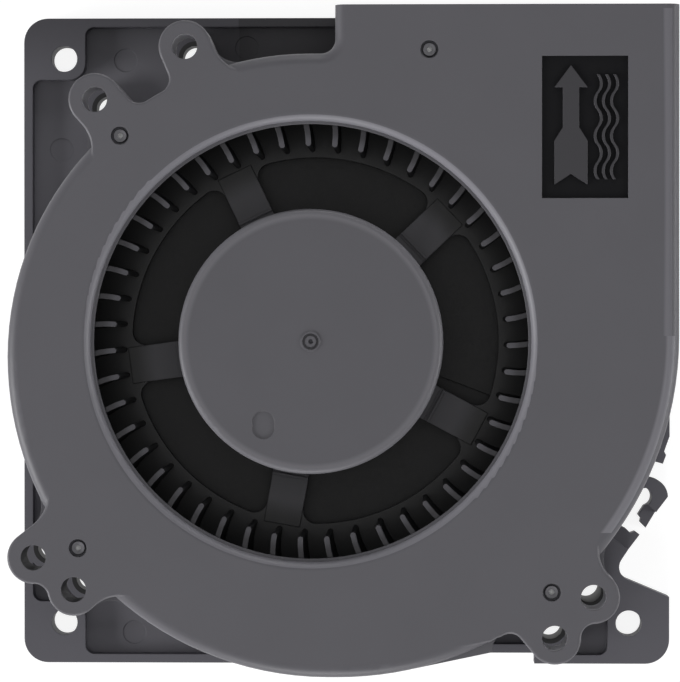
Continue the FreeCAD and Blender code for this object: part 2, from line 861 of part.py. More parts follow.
def lead_clips(inside):
    """The bar, the hook and the stop that hold the lead along the right edge."""
    root = [point(x, y) for x, y in at_lower_right(clip_hook_root)]
    outer_bend = [point(x, y) for x, y in at_lower_right(clip_hook_outer_bend)]
    end = [point(x, y) for x, y in at_lower_right(clip_hook_end)]
    inner_bend = [point(x, y) for x, y in at_lower_right(clip_hook_inner_bend)]
    hook = face_of([
        line(root[0], root[1]),
        line(root[1], root[2]),
        arc(outer_bend[0], outer_bend[1], outer_bend[2]),
        line(end[0], end[1]),
        line(end[1], end[2]),
        arc(inner_bend[0], inner_bend[1], inner_bend[2]),
        line(inner_bend[2], root[0]),
    ])
    high = floor_thickness + clip_height
    low_high = floor_thickness + clip_low_height
    shapes = [
        prism(polygon(at_lower_right(clip_bar)), 0.0, high),
        prism(hook, 0.0, high),
        prism(polygon(at_lower_right(clip_tip)), 0.0, low_high),
        prism(polygon(at_lower_right(clip_stop)), 0.0, low_high),
    ]
    return shapes[0].multiFuse(shapes[1:]).cut(inside)


def blade_face():
    """One forward-curved blade with round ends, its inner end on the X axis."""
    start = point(blade_inner_radius, 0.0)
    end = on_circle(blade_outer_radius, blade_sweep)
    chord = end - start
    across = point(chord.y, -chord.x).normalize()
    middle = (start + end) * 0.5 + across * blade_bow
    edge = arc(start, middle, end)
    centre = edge.Curve.Center
    radius = edge.Curve.Radius
    half = blade_thickness / 2

    def beside(place, side):
        """The point of a side of the blade that lies beside a point of its middle line."""
        return centre + (place - centre).normalize() * (radius + side * half)

    start_way = (start - middle).normalize()
    end_way = (end - middle).normalize()
    return face_of([
        arc(beside(start, -1), beside(middle, -1), beside(end, -1)),
        arc(beside(end, -1), end + end_way * half, beside(end, 1)),
        arc(beside(end, 1), beside(middle, 1), beside(start, 1)),
        arc(beside(start, 1), start + start_way * half, beside(start, -1)),
    ])


def wheel_plate():
    """The ring and the spokes, with rounded roots at the ring."""
    plate = disc(wheel_radius).cut(disc(wheel_ring_inner_radius))
    plate = prism(plate, wheel_bottom, wheel_ring_top)
    start = hub_radius - hub_wall / 2
    reach = wheel_ring_inner_radius + spoke_overlap
    for index in range(spoke_count):
        angle = spoke_first_angle + index * 360.0 / spoke_count
        spoke = block(start, reach, -spoke_width / 2, spoke_width / 2, wheel_bottom, wheel_ring_top)
        plate = plate.fuse(turned(spoke, angle))
    plate = plate.removeSplitter()
    roots = [edge for edge in plate.Edges if is_spoke_root(edge)]
    return plate.makeFillet(spoke_root_radius, roots)


def is_spoke_root(edge):
    """Whether an edge stands upright where a spoke meets the ring."""
    centre = edge.BoundBox.Center
    radius = math.hypot(centre.x, centre.y)
    return is_upright(edge) and abs(radius - wheel_ring_inner_radius) < same_place


def hub_cup():
    """The hub: a cup with a rounded edge, the moulding gate's recess and a shallow mark."""
    cup = cylinder(hub_radius, wheel_bottom, hub_top)
    edge = [edge for edge in cup.Edges if is_level(edge, hub_top)]
    cup = cup.makeFillet(hub_edge_radius, edge)
    cup = cup.cut(cylinder(hub_inner_radius, wheel_bottom, hub_roof_level))
    cup = cup.cut(cylinder(shaft_radius + fit_gap, hub_roof_level, shaft_top + fit_gap))
    low = hub_top - hub_mark_depth
    for side in (-0.5, 0.5):
        y = hub_mark_y + side * hub_mark_stretch
        cup = cup.cut(cylinder(hub_mark_radius, low, hub_top, hub_mark_x, y))
    return gate_recess(cup)


def gate_recess(cup):
    """Adds the moulding gate to the hub's centre: a lip, a round groove and a dimpled stub."""
    lip_radius = hub_gate_radius + hub_gate_lip_width
    cup = cup.fuse(cylinder(lip_radius, hub_top - hub_gate_depth, hub_top + hub_gate_lip_height))
    groove = ring(hub_gate_stub_radius, hub_gate_radius, hub_top - hub_gate_depth, hub_top + cut_past)
    cup = cup.cut(groove)
    cup = cup.cut(cylinder(hub_gate_radius, hub_top, hub_top + cut_past))
    return cup.cut(Part.makeSphere(hub_gate_dimple_radius, point(0.0, 0.0, hub_top)))


def impeller():
    """Hub, spokes, ring and blades in one moulding."""
    parts = [wheel_plate(), hub_cup()]
    start = hub_radius - hub_wall / 2
    lip_end = hub_radius + spoke_lip_length
    reach = wheel_ring_inner_radius + spoke_overlap
    spoke_top = wheel_bottom + spoke_thickness
    half = spoke_width / 2
    for index in range(spoke_count):
        angle = spoke_first_angle + index * 360.0 / spoke_count
        lip = block(start, lip_end, -half, half, wheel_bottom, spoke_top + spoke_lip_height)
        parts.append(turned(lip, angle))
        spoke = block(start, reach, -half, half, wheel_bottom, spoke_top)
        parts.append(turned(spoke, angle))
    blade = prism(blade_face(), (wheel_bottom + wheel_ring_top) / 2, blade_top)
    for index in range(blade_count):
        parts.append(turned(blade, blade_first_angle + index * 360.0 / blade_count))
    return joined(parts)


def rotor_yoke():
    """The drawn steel cup inside the hub."""
    low = stack_bottom - magnet_below_stack - fit_gap
    cup = cylinder(yoke_radius, low, hub_roof_level)
    cup = cup.cut(cylinder(yoke_radius - yoke_wall, low, yoke_roof_level))
    return cup.cut(cylinder(bush_radius + fit_gap, yoke_roof_level, hub_roof_level))


def rotor_magnet():
    """The ring magnet in the yoke."""
    low = stack_bottom - magnet_below_stack
    return ring(magnet_radius - magnet_wall, magnet_radius, low, stack_top + magnet_above_stack)


def motor_shaft():
    """The shaft with the clip's groove and chamfered ends."""
    body = cylinder(shaft_radius, shaft_bottom, shaft_top)
    ends = [edge for edge in body.Edges if is_level(edge, shaft_top) or is_level(edge, shaft_bottom)]
    body = body.makeChamfer(shaft_chamfer, ends)
    high = clip_ring_level + clip_ring_thickness
    groove = ring(shaft_groove_radius, bearing_radius, clip_ring_level - fit_gap, high + fit_gap)
    return body.cut(groove)


def shaft_bush():
    """The brass bush that joins the shaft to the yoke and the hub."""
    body = cylinder(bush_radius, bush_bottom, hub_roof_level)
    flange_low = yoke_roof_level - bush_flange_thickness
    body = body.fuse(cylinder(bush_flange_radius, flange_low, yoke_roof_level))
    return body.cut(cylinder(shaft_radius + fit_gap, bush_bottom, hub_roof_level)).removeSplitter()


def preload_spring():
    """The small coil spring between the bush and the upper bearing."""
    coil_radius = shaft_radius + spring_wire_radius + spring_shaft_gap
    low = upper_bearing_level + bearing_width + spring_wire_radius + fit_gap
    rise = spring_length - 2 * (spring_wire_radius + fit_gap)
    helix = Part.makeHelix(rise / spring_turns, rise, coil_radius)
    helix.translate(point(0.0, 0.0, low))
    start = point(coil_radius, 0.0, low)
    section = Part.Wire(Part.makeCircle(spring_wire_radius, start, point(0.0, 1.0, 0.0)))
    return Part.Wire(helix).makePipeShell([section], True, True)


def retaining_clip():
    """The open clip in the shaft's groove."""
    low = clip_ring_level
    high = low + clip_ring_thickness
    body = ring(shaft_groove_radius + fit_gap, clip_ring_radius, low, high)
    half = clip_ring_mouth / 2
    return body.cut(block(0.0, clip_ring_radius + cut_past, -half, half, low, high))


def thrust_washer():
    """The washer between the clip and the lower bearing."""
    low = clip_ring_level + clip_ring_thickness
    return ring(shaft_radius + fit_gap, bearing_inner_land, low, lower_bearing_level)


def bearing_groove(level):
    """The round groove that the balls run in."""
    radius = ball_radius + groove_gap
    return Part.makeTorus(ball_circle_radius, radius, point(0.0, 0.0, level + bearing_width / 2))


def bearing_inner_ring(level):
    """The inner race on the shaft."""
    body = ring(shaft_radius + fit_gap, bearing_inner_land, level, level + bearing_width)
    return body.cut(bearing_groove(level))


def bearing_outer_ring(level):
    """The outer race in the tube, with the shields' seats."""
    body = ring(bearing_outer_land, bearing_radius, level, level + bearing_width)
    seat_radius = bearing_outer_land + shield_seat
    depth = shield_thickness + fit_gap
    top = level + bearing_width
    body = body.cut(cylinder(seat_radius, level, level + depth))
    body = body.cut(cylinder(seat_radius, top - depth, top))
    return body.cut(bearing_groove(level))


def bearing_balls(level):
    """The balls, each its own solid."""
    centre = level + bearing_width / 2
    balls = []
    for index in range(ball_count):
        place = on_circle(ball_circle_radius, index * 360.0 / ball_count)
        balls.append(Part.makeSphere(ball_radius, point(place.x, place.y, centre)))
    return Part.makeCompound(balls)


def bearing_cage(level):
    """The crown cage that spaces the balls."""
    centre = level + bearing_width / 2
    inner = ball_circle_radius - cage_wall / 2
    outer = ball_circle_radius + cage_wall / 2
    body = ring(inner, outer, centre - cage_below_centre, centre + cage_above_centre)
    for index in range(ball_count):
        place = on_circle(ball_circle_radius, index * 360.0 / ball_count)
        pocket = Part.makeSphere(ball_radius + pocket_gap, point(place.x, place.y, centre))
        body = body.cut(pocket)
    return body


def bearing_shields(level):
    """The two thin shields that close a bearing."""
    outer = bearing_outer_land + shield_seat - fit_gap
    top = level + bearing_width
    return Part.makeCompound([
        ring(shield_bore, outer, level, level + shield_thickness),
        ring(shield_bore, outer, top - shield_thickness, top),
    ])


def bearing_tube():
    """The brass tube with a seat for a bearing at each end."""
    body = cylinder(tube_radius, floor_thickness, tube_top)
    body = body.cut(cylinder(tube_neck_radius, floor_thickness, tube_top))
    lower_top = lower_bearing_level + bearing_width
    body = body.cut(cylinder(tube_seat_radius, floor_thickness, lower_top))
    return body.cut(cylinder(tube_seat_radius, upper_bearing_level, tube_top))


def dust_cap():
    """The rubber cap in the service hole under the shaft."""
    low = label_recess_depth
    flange_top = low + cap_flange_thickness
    body = cylinder(service_hole_radius - fit_gap, low, flange_top)
    plug_outer = service_hole_radius - fit_gap
    plug = ring(plug_outer - cap_plug_wall, plug_outer, flange_top, flange_top + cap_plug_height)
    return body.fuse(plug).removeSplitter()


def back_label():
    """The blank foil disc that covers the service hole."""
    return cylinder(label_radius, label_recess_depth - label_thickness, label_recess_depth)


def core_face():
    """One stator sheet: ring, arms and pole shoes."""
    shoe_inner = stator_radius - pole_shoe_thickness
    faces = [disc(core_ring_radius)]
    for index in range(pole_count):
        angle = pole_first_angle + index * 360.0 / pole_count
        arm_end = shoe_inner + pole_shoe_thickness / 2
        arm = rectangle(tube_radius, arm_end, -pole_arm_half_width, pole_arm_half_width)
        faces.append(turned(arm, angle))
        faces.append(sector(shoe_inner, stator_radius, pole_shoe_half_angle, angle))
    return united(faces).cut(disc(tube_radius + fit_gap)).Faces[0]


def stator_laminations():
    """The stack of sheets, each its own solid."""
    face = core_face()
    sheets = []
    for index in range(sheet_count):
        low = stack_bottom + index * stack_sheet
        sheets.append(prism(face, low, low + stack_sheet - sheet_gap))
    return Part.makeCompound(sheets)


def winding_former():
    """The upper former, standing on level 0: ring, arm covers, skirts and flanges."""
    arm_half = pole_arm_half_width + former_gap + former_wall
    shoe_inner = stator_radius - pole_shoe_thickness
    flange_inner = shoe_inner - former_wall
    parts = [
        ring(tube_radius + board_gap, core_ring_radius, 0.0, former_wall),
        ring(core_ring_radius, core_ring_radius + former_wall, 0.0, former_flange_rise),
        ring(core_ring_radius - former_wall, core_ring_radius + former_wall / 2, 0.0, former_wall),
    ]
    skirt_low = -stack_height / 2 + former_gap
    skirt_start = core_ring_radius + former_gap
    skirt_end = math.sqrt(flange_inner ** 2 - arm_half ** 2)
    for index in range(pole_count):
        angle = pole_first_angle + index * 360.0 / pole_count
        cover_end = flange_inner + former_wall / 2
        cover = block(core_ring_radius, cover_end, -arm_half, arm_half, 0.0, former_wall)
        parts.append(turned(cover, angle))
        for side in (-1, 1):
            edge = side * (arm_half - former_wall / 2)
            skirt = block(skirt_start, skirt_end, edge - former_wall / 2, edge + former_wall / 2,
                          skirt_low, former_wall)
            parts.append(turned(skirt, angle))
        flange = sector(flange_inner, shoe_inner, former_shoe_half_angle, angle)
        parts.append(prism(flange, 0.0, former_flange_rise))
    return joined(parts)


def upper_insulator():
    """The winding former on top of the stack."""
    return moved(winding_former(), 0.0, 0.0, stack_top)


def lower_insulator():
    """The winding former under the stack, with a foot down to the board."""
    former = winding_former()
    former.rotate(point(0.0, 0.0), point(1.0, 0.0, 0.0), 180.0)
    former = moved(former, 0.0, 0.0, stack_bottom)
    foot = ring(tube_radius + board_gap, core_ring_radius + former_wall, board_top, stack_bottom)
    former = former.fuse(foot).removeSplitter()
    for place in winding_pin_places():
        hole_top = stack_bottom - pin_below_stack
        hole = cylinder(pin_radius + fit_gap, board_top, hole_top, place.x, place.y)
        former = former.cut(hole)
    return former


def winding_pin_places():
    """Where the winding pins stand on their circle."""
    return [on_circle(pin_circle_radius, pin_first_angle + index * pin_pitch_angle)
            for index in range(pin_count)]


def winding_pins():
    """The pins from the lower former through the board."""
    low = board_level - pin_below_board
    high = stack_bottom - pin_below_stack
    return Part.makeCompound([cylinder(pin_radius, low, high, place.x, place.y)
                              for place in winding_pin_places()])


def stator_coils():
    """One winding on each pole arm."""
    inner_half = pole_arm_half_width + former_gap + former_wall + former_gap
    outer_half = inner_half + coil_build
    inner_rise = stack_height / 2 + former_wall + former_gap
    start = core_ring_radius + former_wall + former_gap
    flange_inner = stator_radius - pole_shoe_thickness - former_wall
    end = math.sqrt(flange_inner ** 2 - outer_half ** 2) - former_gap
    rise = inner_rise + former_flange_rise - former_wall - 2 * former_gap
    body = block(start, end, -outer_half, outer_half, stack_middle - rise, stack_middle + rise)
    lengthways = [edge for edge in body.Edges if edge.BoundBox.XLength > (end - start) / 2]
    body = body.makeFillet(coil_corner_radius, lengthways)
    core = block(start, end, -inner_half, inner_half, stack_middle - inner_rise, stack_middle + inner_rise)
    coil = body.cut(core)
    return Part.makeCompound([turned(coil, pole_first_angle + index * 360.0 / pole_count)
                              for index in range(pole_count)])


def circuit_board():
    """The ring-shaped board on the motor boss."""
    board = ring(tube_radius + board_gap, board_radius, board_level, board_top)
    for place in winding_pin_places():
        board = board.cut(cylinder(pin_radius + board_gap, board_level, board_top, place.x, place.y))
    return board


def board_part(size, angle, circle, low):
    """A small block on the board, at an angle on a circle about the axis."""
    length, width, height = size
    body = block(circle - width / 2, circle + width / 2, -length / 2, length / 2, low, low + height)
    return turned(body, angle)


def driver_chip():
    """The driver chip under the board."""
    return board_part(chip_size, chip_angle, board_part_circle, board_level - chip_size[2])


def hall_sensor():
    """The position sensor on the board, under the magnet's edge."""
    circle = board_radius - hall_size[0]
    size = (hall_size[1], hall_size[0], hall_size[2])
    return board_part(size, hall_angle, circle, board_top)


def smoothing_capacitor():
    """The round capacitor under the board, on its square foot."""
    place = on_circle(board_part_circle, capacitor_angle)
    can = cylinder(capacitor_radius, board_level - capacitor_height, board_level, place.x, place.y)
    size = (capacitor_base_side, capacitor_base_side, capacitor_base_height)
    foot = board_part(size, capacitor_angle, board_part_circle, board_level - capacitor_base_height)
    return can.fuse(foot).removeSplitter()


def chip_resistors():
    """The small resistors under the board."""
    low = board_level - resistor_size[2]
    return Part.makeCompound([
        board_part(resistor_size, resistor_first_angle + index * resistor_pitch_angle,
                   board_part_circle, low)
        for index in range(resistor_count)
    ])


def on_fan_axis(shape):
    """Moves a piece from the origin onto the fan's axis."""
    return moved(shape, axis_x, axis_y)


def all_pieces():
    """Every piece of the fan by name, in place."""
    pieces = {
        "base_plate": base_plate(),
        "scroll_cover": scroll_cover(),
    }
    on_axis = {
        "impeller": impeller(),
        "rotor_yoke": rotor_yoke(),
        "rotor_magnet": rotor_magnet(),
        "motor_shaft": motor_shaft(),
        "shaft_bush": shaft_bush(),
        "preload_spring": preload_spring(),
        "retaining_clip": retaining_clip(),
        "thrust_washer": thrust_washer(),
        "bearing_tube": bearing_tube(),
        "dust_cap": dust_cap(),
        "back_label": back_label(),
        "stator_laminations": stator_laminations(),
        "upper_insulator": upper_insulator(),
        "lower_insulator": lower_insulator(),
        "stator_coils": stator_coils(),
        "winding_pins": winding_pins(),
        "circuit_board": circuit_board(),
        "driver_chip": driver_chip(),
        "hall_sensor": hall_sensor(),
        "smoothing_capacitor": smoothing_capacitor(),
        "chip_resistors": chip_resistors(),
    }
    for name, level in (("upper", upper_bearing_level), ("lower", lower_bearing_level)):
        on_axis[name + "_bearing_outer_ring"] = bearing_outer_ring(level)
        on_axis[name + "_bearing_inner_ring"] = bearing_inner_ring(level)
        on_axis[name + "_bearing_balls"] = bearing_balls(level)
        on_axis[name + "_bearing_cage"] = bearing_cage(level)
        on_axis[name + "_bearing_shields"] = bearing_shields(level)
    for name, shape in on_axis.items():
        pieces[name] = on_fan_axis(shape)
    return pieces


def main():
    """Writes one STEP file per piece."""
    os.makedirs("parts", exist_ok=True)
    for name, shape in all_pieces().items():
        shape.exportStep("parts/" + name + ".step")


main()
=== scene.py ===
"""Looks of a radial DC blower: finishes, small details, camera and studio.

The details are the wound coils, the driver chip's leads, the solder on the pins, the ridges at
the spokes' roots and the stain on the air-flow mark.

Everything is in metres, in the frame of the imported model: the fan lies on its back, +Z points
out of the inlet and +Y out of the outlet.
"""

import logging
import math
from dataclasses import dataclass, field
from enum import Enum
from typing import Any, Callable, Iterable

import bmesh
import bpy
from mathutils import Matrix, Vector

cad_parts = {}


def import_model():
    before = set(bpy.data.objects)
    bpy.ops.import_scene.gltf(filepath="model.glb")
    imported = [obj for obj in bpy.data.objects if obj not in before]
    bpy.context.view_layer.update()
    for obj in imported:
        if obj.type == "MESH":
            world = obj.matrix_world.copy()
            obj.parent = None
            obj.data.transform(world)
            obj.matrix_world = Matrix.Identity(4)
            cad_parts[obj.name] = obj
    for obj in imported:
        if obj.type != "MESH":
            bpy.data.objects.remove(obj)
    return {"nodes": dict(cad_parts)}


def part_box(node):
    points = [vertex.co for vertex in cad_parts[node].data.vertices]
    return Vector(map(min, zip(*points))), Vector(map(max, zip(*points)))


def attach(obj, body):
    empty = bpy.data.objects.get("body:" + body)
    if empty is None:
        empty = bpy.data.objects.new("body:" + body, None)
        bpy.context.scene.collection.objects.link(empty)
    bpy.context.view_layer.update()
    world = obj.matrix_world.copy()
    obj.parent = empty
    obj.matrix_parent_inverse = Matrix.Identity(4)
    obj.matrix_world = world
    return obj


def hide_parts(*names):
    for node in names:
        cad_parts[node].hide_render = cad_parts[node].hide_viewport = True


LOG = logging.getLogger("blower_looks")
MM = 0.001
PICTURE_WIDTH = 680
PICTURE_HEIGHT = 682
SENSOR_WIDTH_MM = 36.0
# Half the fan's width, and a distance that lies past all its sides, in millimetres.
HALF_SIDE = 60.0
PAST_SIDES = 70.0
# Points whose coordinates in metres agree to this many decimals are one corner of a mesh.
WELD_DECIMALS = 7
# The mix node's two colour inputs and its colour output, by number.
MIX_FROM = 6
MIX_TO = 7
MIX_RESULT = 2


def linear_colour(code: str) -> tuple[float, float, float, float]:
    """Turns an sRGB hex colour into linear values.

    Args:
        code: Six hex digits after a hash sign.

    Returns:
        Red, green, blue and an alpha of one.
    """
    shares = [int(code[start:start + 2], 16) / 255 for start in (1, 3, 5)]
    red, green, blue = (c / 12.92 if c <= 0.04045 else ((c + 0.055) / 1.055) ** 2.4 for c in shares)
    return red, green, blue, 1.0


def per_metre(size_mm: float) -> float:
    """Returns the texture scale at which one feature is size_mm wide."""
    return 1.0 / (size_mm * MM)


def fan_axis_x() -> float:
    """Returns where the fan's upright axis stands along X, in metres."""
    low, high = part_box("motor_shaft")
    return (low.x + high.x) / 2


@dataclass
class NodeSheet:
    """One material's or world's node tree, with the single call that adds to it."""

    tree: bpy.types.NodeTree

    def add(
        self,
        kind: str,
        settings: dict[str | int, Any] | None = None,
        links: dict[str | int, bpy.types.NodeSocket] | None = None,
    ) -> bpy.types.Node:
        """Adds one node with its settings and links.

        Args:
            kind: The node's type name.
            settings: Values by property name, input name or input number.
            links: Output sockets by input name or input number.

        Returns:
            The new node.
        """
        node = self.tree.nodes.new(kind)
        for name, value in (settings or {}).items():
            if isinstance(name, str) and hasattr(node, name):
                setattr(node, name, value)
            else:
                node.inputs[name].default_value = value
        for name, socket in (links or {}).items():
            self.tree.links.new(socket, node.inputs[name])
        return node


@dataclass(frozen=True)
class Region:
    """A part of space where a moulding is darker or lighter, in millimetres.

    It is a box, or with an outer radius the part of it between two tubes about an upright axis,
    which is the fan's own where no centre is given. With a fade it starts gradually, over that
    distance outside the inner tube. On the fan's mouldings most regions are painted light and
    shade; the air-flow mark's is a stain.
    """

    colour: str
    low: tuple[float, float, float]
    high: tuple[float, float, float]
    inner_radius: float = 0.0
    outer_radius: float = 0.0
    centre: tuple[float, float] | None = None
    fade: float = 0.0

    def share(self, sheet: NodeSheet, place: bpy.types.NodeSocket) -> bpy.types.NodeSocket:
        """Adds the test whether a point lies in the region.

        Args:
            sheet: The material's nodes.
            place: The point's place in metres.

        Returns:
            A socket that is one inside and zero outside.
        """
        axes = sheet.add("ShaderNodeSeparateXYZ", links={"Vector": place})
        tests = [self.between(sheet, axes.outputs[axis], low, high)
                 for axis, low, high in zip("XYZ", self.low, self.high)]
        if self.outer_radius:
            radius = self.distance(sheet, place)
            tests.append(self.between(sheet, radius, self.inner_radius, self.outer_radius))
            if self.fade:
                start = self.inner_radius * MM
                rise = sheet.add("ShaderNodeMapRange",
                                 {"interpolation_type": "SMOOTHSTEP", "From Min": start,
                                  "From Max": start + self.fade * MM}, {"Value": radius})
                tests.append(rise.outputs["Result"])
        share = tests[0]
        for test in tests[1:]:
            both = sheet.add("ShaderNodeMath", {"operation": "MULTIPLY"}, {0: share, 1: test})
            share = both.outputs[0]
        return share

    def distance(self, sheet: NodeSheet, place: bpy.types.NodeSocket) -> bpy.types.NodeSocket:
        """Adds a point's distance from the region's upright axis.

        Args:
            sheet: The material's nodes.
            place: The point's place in metres.

        Returns:
            A socket with the distance in metres.
        """
        x, y = (self.centre[0] * MM, self.centre[1] * MM) if self.centre else (fan_axis_x(), 0.0)
        centred = sheet.add("ShaderNodeVectorMath", {"operation": "SUBTRACT", 1: (x, y, 0.0)},
                            {0: place})
        flat = sheet.add("ShaderNodeVectorMath", {"operation": "MULTIPLY", 1: (1.0, 1.0, 0.0)},
                         {0: centred.outputs[0]})
        length = sheet.add("ShaderNodeVectorMath", {"operation": "LENGTH"}, {0: flat.outputs[0]})
        return length.outputs["Value"]

    @staticmethod
    def between(sheet: NodeSheet, value: bpy.types.NodeSocket, low: float,
                high: float) -> bpy.types.NodeSocket:
        """Adds the test whether a value in metres lies between two limits in millimetres.

        Args:
            sheet: The material's nodes.
            value: The value.
            low: The lower limit.
            high: The upper limit.

        Returns:
            A socket that is one between the limits.
        """
        return sheet.add("ShaderNodeMath", {"operation": "COMPARE", 1: (low + high) / 2 * MM,
                                            2: (high - low) / 2 * MM}, {0: value}).outputs[0]


def band(colour: str, heights: tuple[float, float], radii: tuple[float, float],
         fade: float = 0.0) -> Region:
    """Makes a region between two heights and two tubes about the fan's axis.

    Args:
        colour: Its colour.
        heights: Its lower and upper height in millimetres.
        radii: The inner and outer tube's radius in millimetres.
        fade: Over how many millimetres outside the inner tube it starts.

    Returns:
        The region.
    """
    (bottom, top), (inner, outer) = heights, radii
    return Region(colour, (-PAST_SIDES, -PAST_SIDES, bottom), (PAST_SIDES, PAST_SIDES, top),
                  inner_radius=inner, outer_radius=outer, fade=fade)


def wells(colour: str, heights: tuple[float, float], radius: float,
          centres: Iterable[tuple[float, float]]) -> tuple[Region, ...]:
    """Makes one upright round region about each of some centres.

    Args:
        colour: Their colour.
        heights: Their lower and upper height in millimetres.
        radius: Their radius in millimetres.
        centres: Where their axes stand, as (x, y) in millimetres.

    Returns:
        The regions.
    """
    bottom, top = heights
    return tuple(Region(colour, (-PAST_SIDES, -PAST_SIDES, bottom), (PAST_SIDES, PAST_SIDES, top),
                        outer_radius=radius, centre=centre) for centre in centres)


class Lay(Enum):
    """Which way the fine marks of a cut or drawn metal surface run."""

    TURNED = "rings round the fan's axis"
    DRAWN = "lines along the fan's axis"
    ROLLED = "lines along the sheet"


@dataclass(frozen=True)
class Finish:
    """What every finish of the fan has: a name and the material made of it once."""

    name: str

    def dress(self, sheet: NodeSheet, shader: bpy.types.Node) -> None:
        """Gives the shader its colour, roughness and bump.

        Args:
            sheet: The material's nodes.
            shader: The material's surface shader.
        """
        raise NotImplementedError(self.name)

    def material(self) -> bpy.types.Material:
        """Returns the material of this finish, made on the first call."""
        made = bpy.data.materials.get(self.name)
        if made is not None:
            return made
        made = bpy.data.materials.new(self.name)
        made.use_nodes = True
        made.node_tree.nodes.clear()
        sheet = NodeSheet(made.node_tree)
        shader = sheet.add("ShaderNodeBsdfPrincipled")
        sheet.add("ShaderNodeOutputMaterial", links={"Surface": shader.outputs["BSDF"]})
        self.dress(sheet, shader)
        return made


@dataclass(frozen=True)
class MouldedPlastic(Finish):
    """Injection-moulded plastic from a spark-eroded tool.

    To the eye it is an even, matt surface with a fine grain and faint cloudy flow. Its edges
    catch a thin line of light where the tool's corner has worn round. In its regions it is
    darker or lighter, mostly as painted light and shade.
    """

    colour: str = "#58575C"
    roughness: float = 0.55
    grain_mm: float = 0.45
    grain_depth_mm: float = 0.02
    cloud_mm: float = 14.0
    cloud_share: float = 0.06
    edge_mm: float = 0.2
    gloss: float = 0.3
    roughness_swing: float = 0.06
    grain_strength: float = 0.6
    refraction: float = 1.5
    regions: tuple[Region, ...] = ()

    def dress(self, sheet: NodeSheet, shader: bpy.types.Node) -> None:
        """Adds grain, flow clouds and soft edges.

        Args:
            sheet: The material's nodes.
            shader: The material's surface shader.
        """
        place = sheet.add("ShaderNodeTexCoord").outputs["Object"]
        grain = sheet.add("ShaderNodeTexNoise",
                          {"Scale": per_metre(self.grain_mm), "Detail": 3.0, "Roughness": 0.6},
                          {"Vector": place})
        cloud = sheet.add("ShaderNodeTexNoise",
                          {"Scale": per_metre(self.cloud_mm), "Detail": 2.0}, {"Vector": place})
        base = linear_colour(self.colour)
        darker = tuple(c * (1 - self.cloud_share) for c in base[:3]) + (1.0,)
        lighter = tuple(c * (1 + self.cloud_share) for c in base[:3]) + (1.0,)
        clouded = sheet.add("ShaderNodeMix",
                            {"data_type": "RGBA", MIX_FROM: darker, MIX_TO: lighter},
                            {0: cloud.outputs["Fac"]})
        colour = clouded.outputs[MIX_RESULT]
        for region in self.regions:
            change = sheet.add("ShaderNodeMix",
                               {"data_type": "RGBA", MIX_TO: linear_colour(region.colour)},
                               {0: region.share(sheet, place), MIX_FROM: colour})
            colour = change.outputs[MIX_RESULT]
        rough = sheet.add("ShaderNodeMapRange",
                          {"To Min": self.roughness - self.roughness_swing,
                           "To Max": self.roughness + self.roughness_swing},
                          {"Value": grain.outputs["Fac"]})
        corner = sheet.add("ShaderNodeBevel", {"samples": 4, "Radius": self.edge_mm * MM})
        bump = sheet.add("ShaderNodeBump",
                         {"Distance": self.grain_depth_mm * MM, "Strength": self.grain_strength},
                         {"Height": grain.outputs["Fac"], "Normal": corner.outputs["Normal"]})
        links = sheet.tree.links
        links.new(colour, shader.inputs["Base Color"])
        links.new(rough.outputs["Result"], shader.inputs["Roughness"])
        links.new(bump.outputs["Normal"], shader.inputs["Normal"])
        shader.inputs["IOR"].default_value = self.refraction
        shader.inputs["Specular IOR Level"].default_value = self.gloss


@dataclass(frozen=True)
class CutMetal(Finish):
    """Metal that was turned, drawn or rolled.

    To the eye it has fine parallel marks that stretch the reflections across them, and a slight
    change of tone from mark to mark.
    """

    colour: str = "#C4C6CA"
    roughness: float = 0.25
    lay: Lay = Lay.TURNED
    mark_mm: float = 0.12
    mark_depth_mm: float = 0.004
    mark_strength: float = 0.5
    mark_shade: float = 0.88
    length_per_width: float = 40.0
    smoothest: float = 0.8
    roughest: float = 1.25

    def dress(self, sheet: NodeSheet, shader: bpy.types.Node) -> None:
        """Adds the tool marks along the metal's lay.

        Args:
            sheet: The material's nodes.
            shader: The material's surface shader.
        """
        place = sheet.add("ShaderNodeTexCoord").outputs["Object"]
        on_axis = sheet.add("ShaderNodeMapping", {"Location": (-fan_axis_x(), 0.0, 0.0)},
                            {"Vector": place}).outputs["Vector"]
        fine = per_metre(self.mark_mm)
        long = per_metre(self.mark_mm * self.length_per_width)
        stretch = {
            Lay.TURNED: (long, long, fine),
            Lay.DRAWN: (fine, fine, long),
            Lay.ROLLED: (long, fine, fine),
        }[self.lay]
        scaled = sheet.add("ShaderNodeMapping", {"Scale": stretch}, {"Vector": on_axis})
        marks = sheet.add("ShaderNodeTexNoise", {"Scale": 1.0, "Detail": 2.0, "Roughness": 0.5},
                          {"Vector": scaled.outputs["Vector"]})
        base = linear_colour(self.colour)
        darker = tuple(c * self.mark_shade for c in base[:3]) + (1.0,)
        mix = sheet.add("ShaderNodeMix", {"data_type": "RGBA", MIX_FROM: darker, MIX_TO: base},
                        {0: marks.outputs["Fac"]})
        rough = sheet.add("ShaderNodeMapRange",
                          {"To Min": self.roughness * self.smoothest,
                           "To Max": self.roughness * self.roughest},
                          {"Value": marks.outputs["Fac"]})
        bump = sheet.add("ShaderNodeBump",
                         {"Distance": self.mark_depth_mm * MM, "Strength": self.mark_strength},
                         {"Height": marks.outputs["Fac"]})
        shader.inputs["Metallic"].default_value = 1.0
        links = sheet.tree.links
        links.new(mix.outputs[MIX_RESULT], shader.inputs["Base Color"])
        links.new(rough.outputs["Result"], shader.inputs["Roughness"])
        links.new(bump.outputs["Normal"], shader.inputs["Normal"])


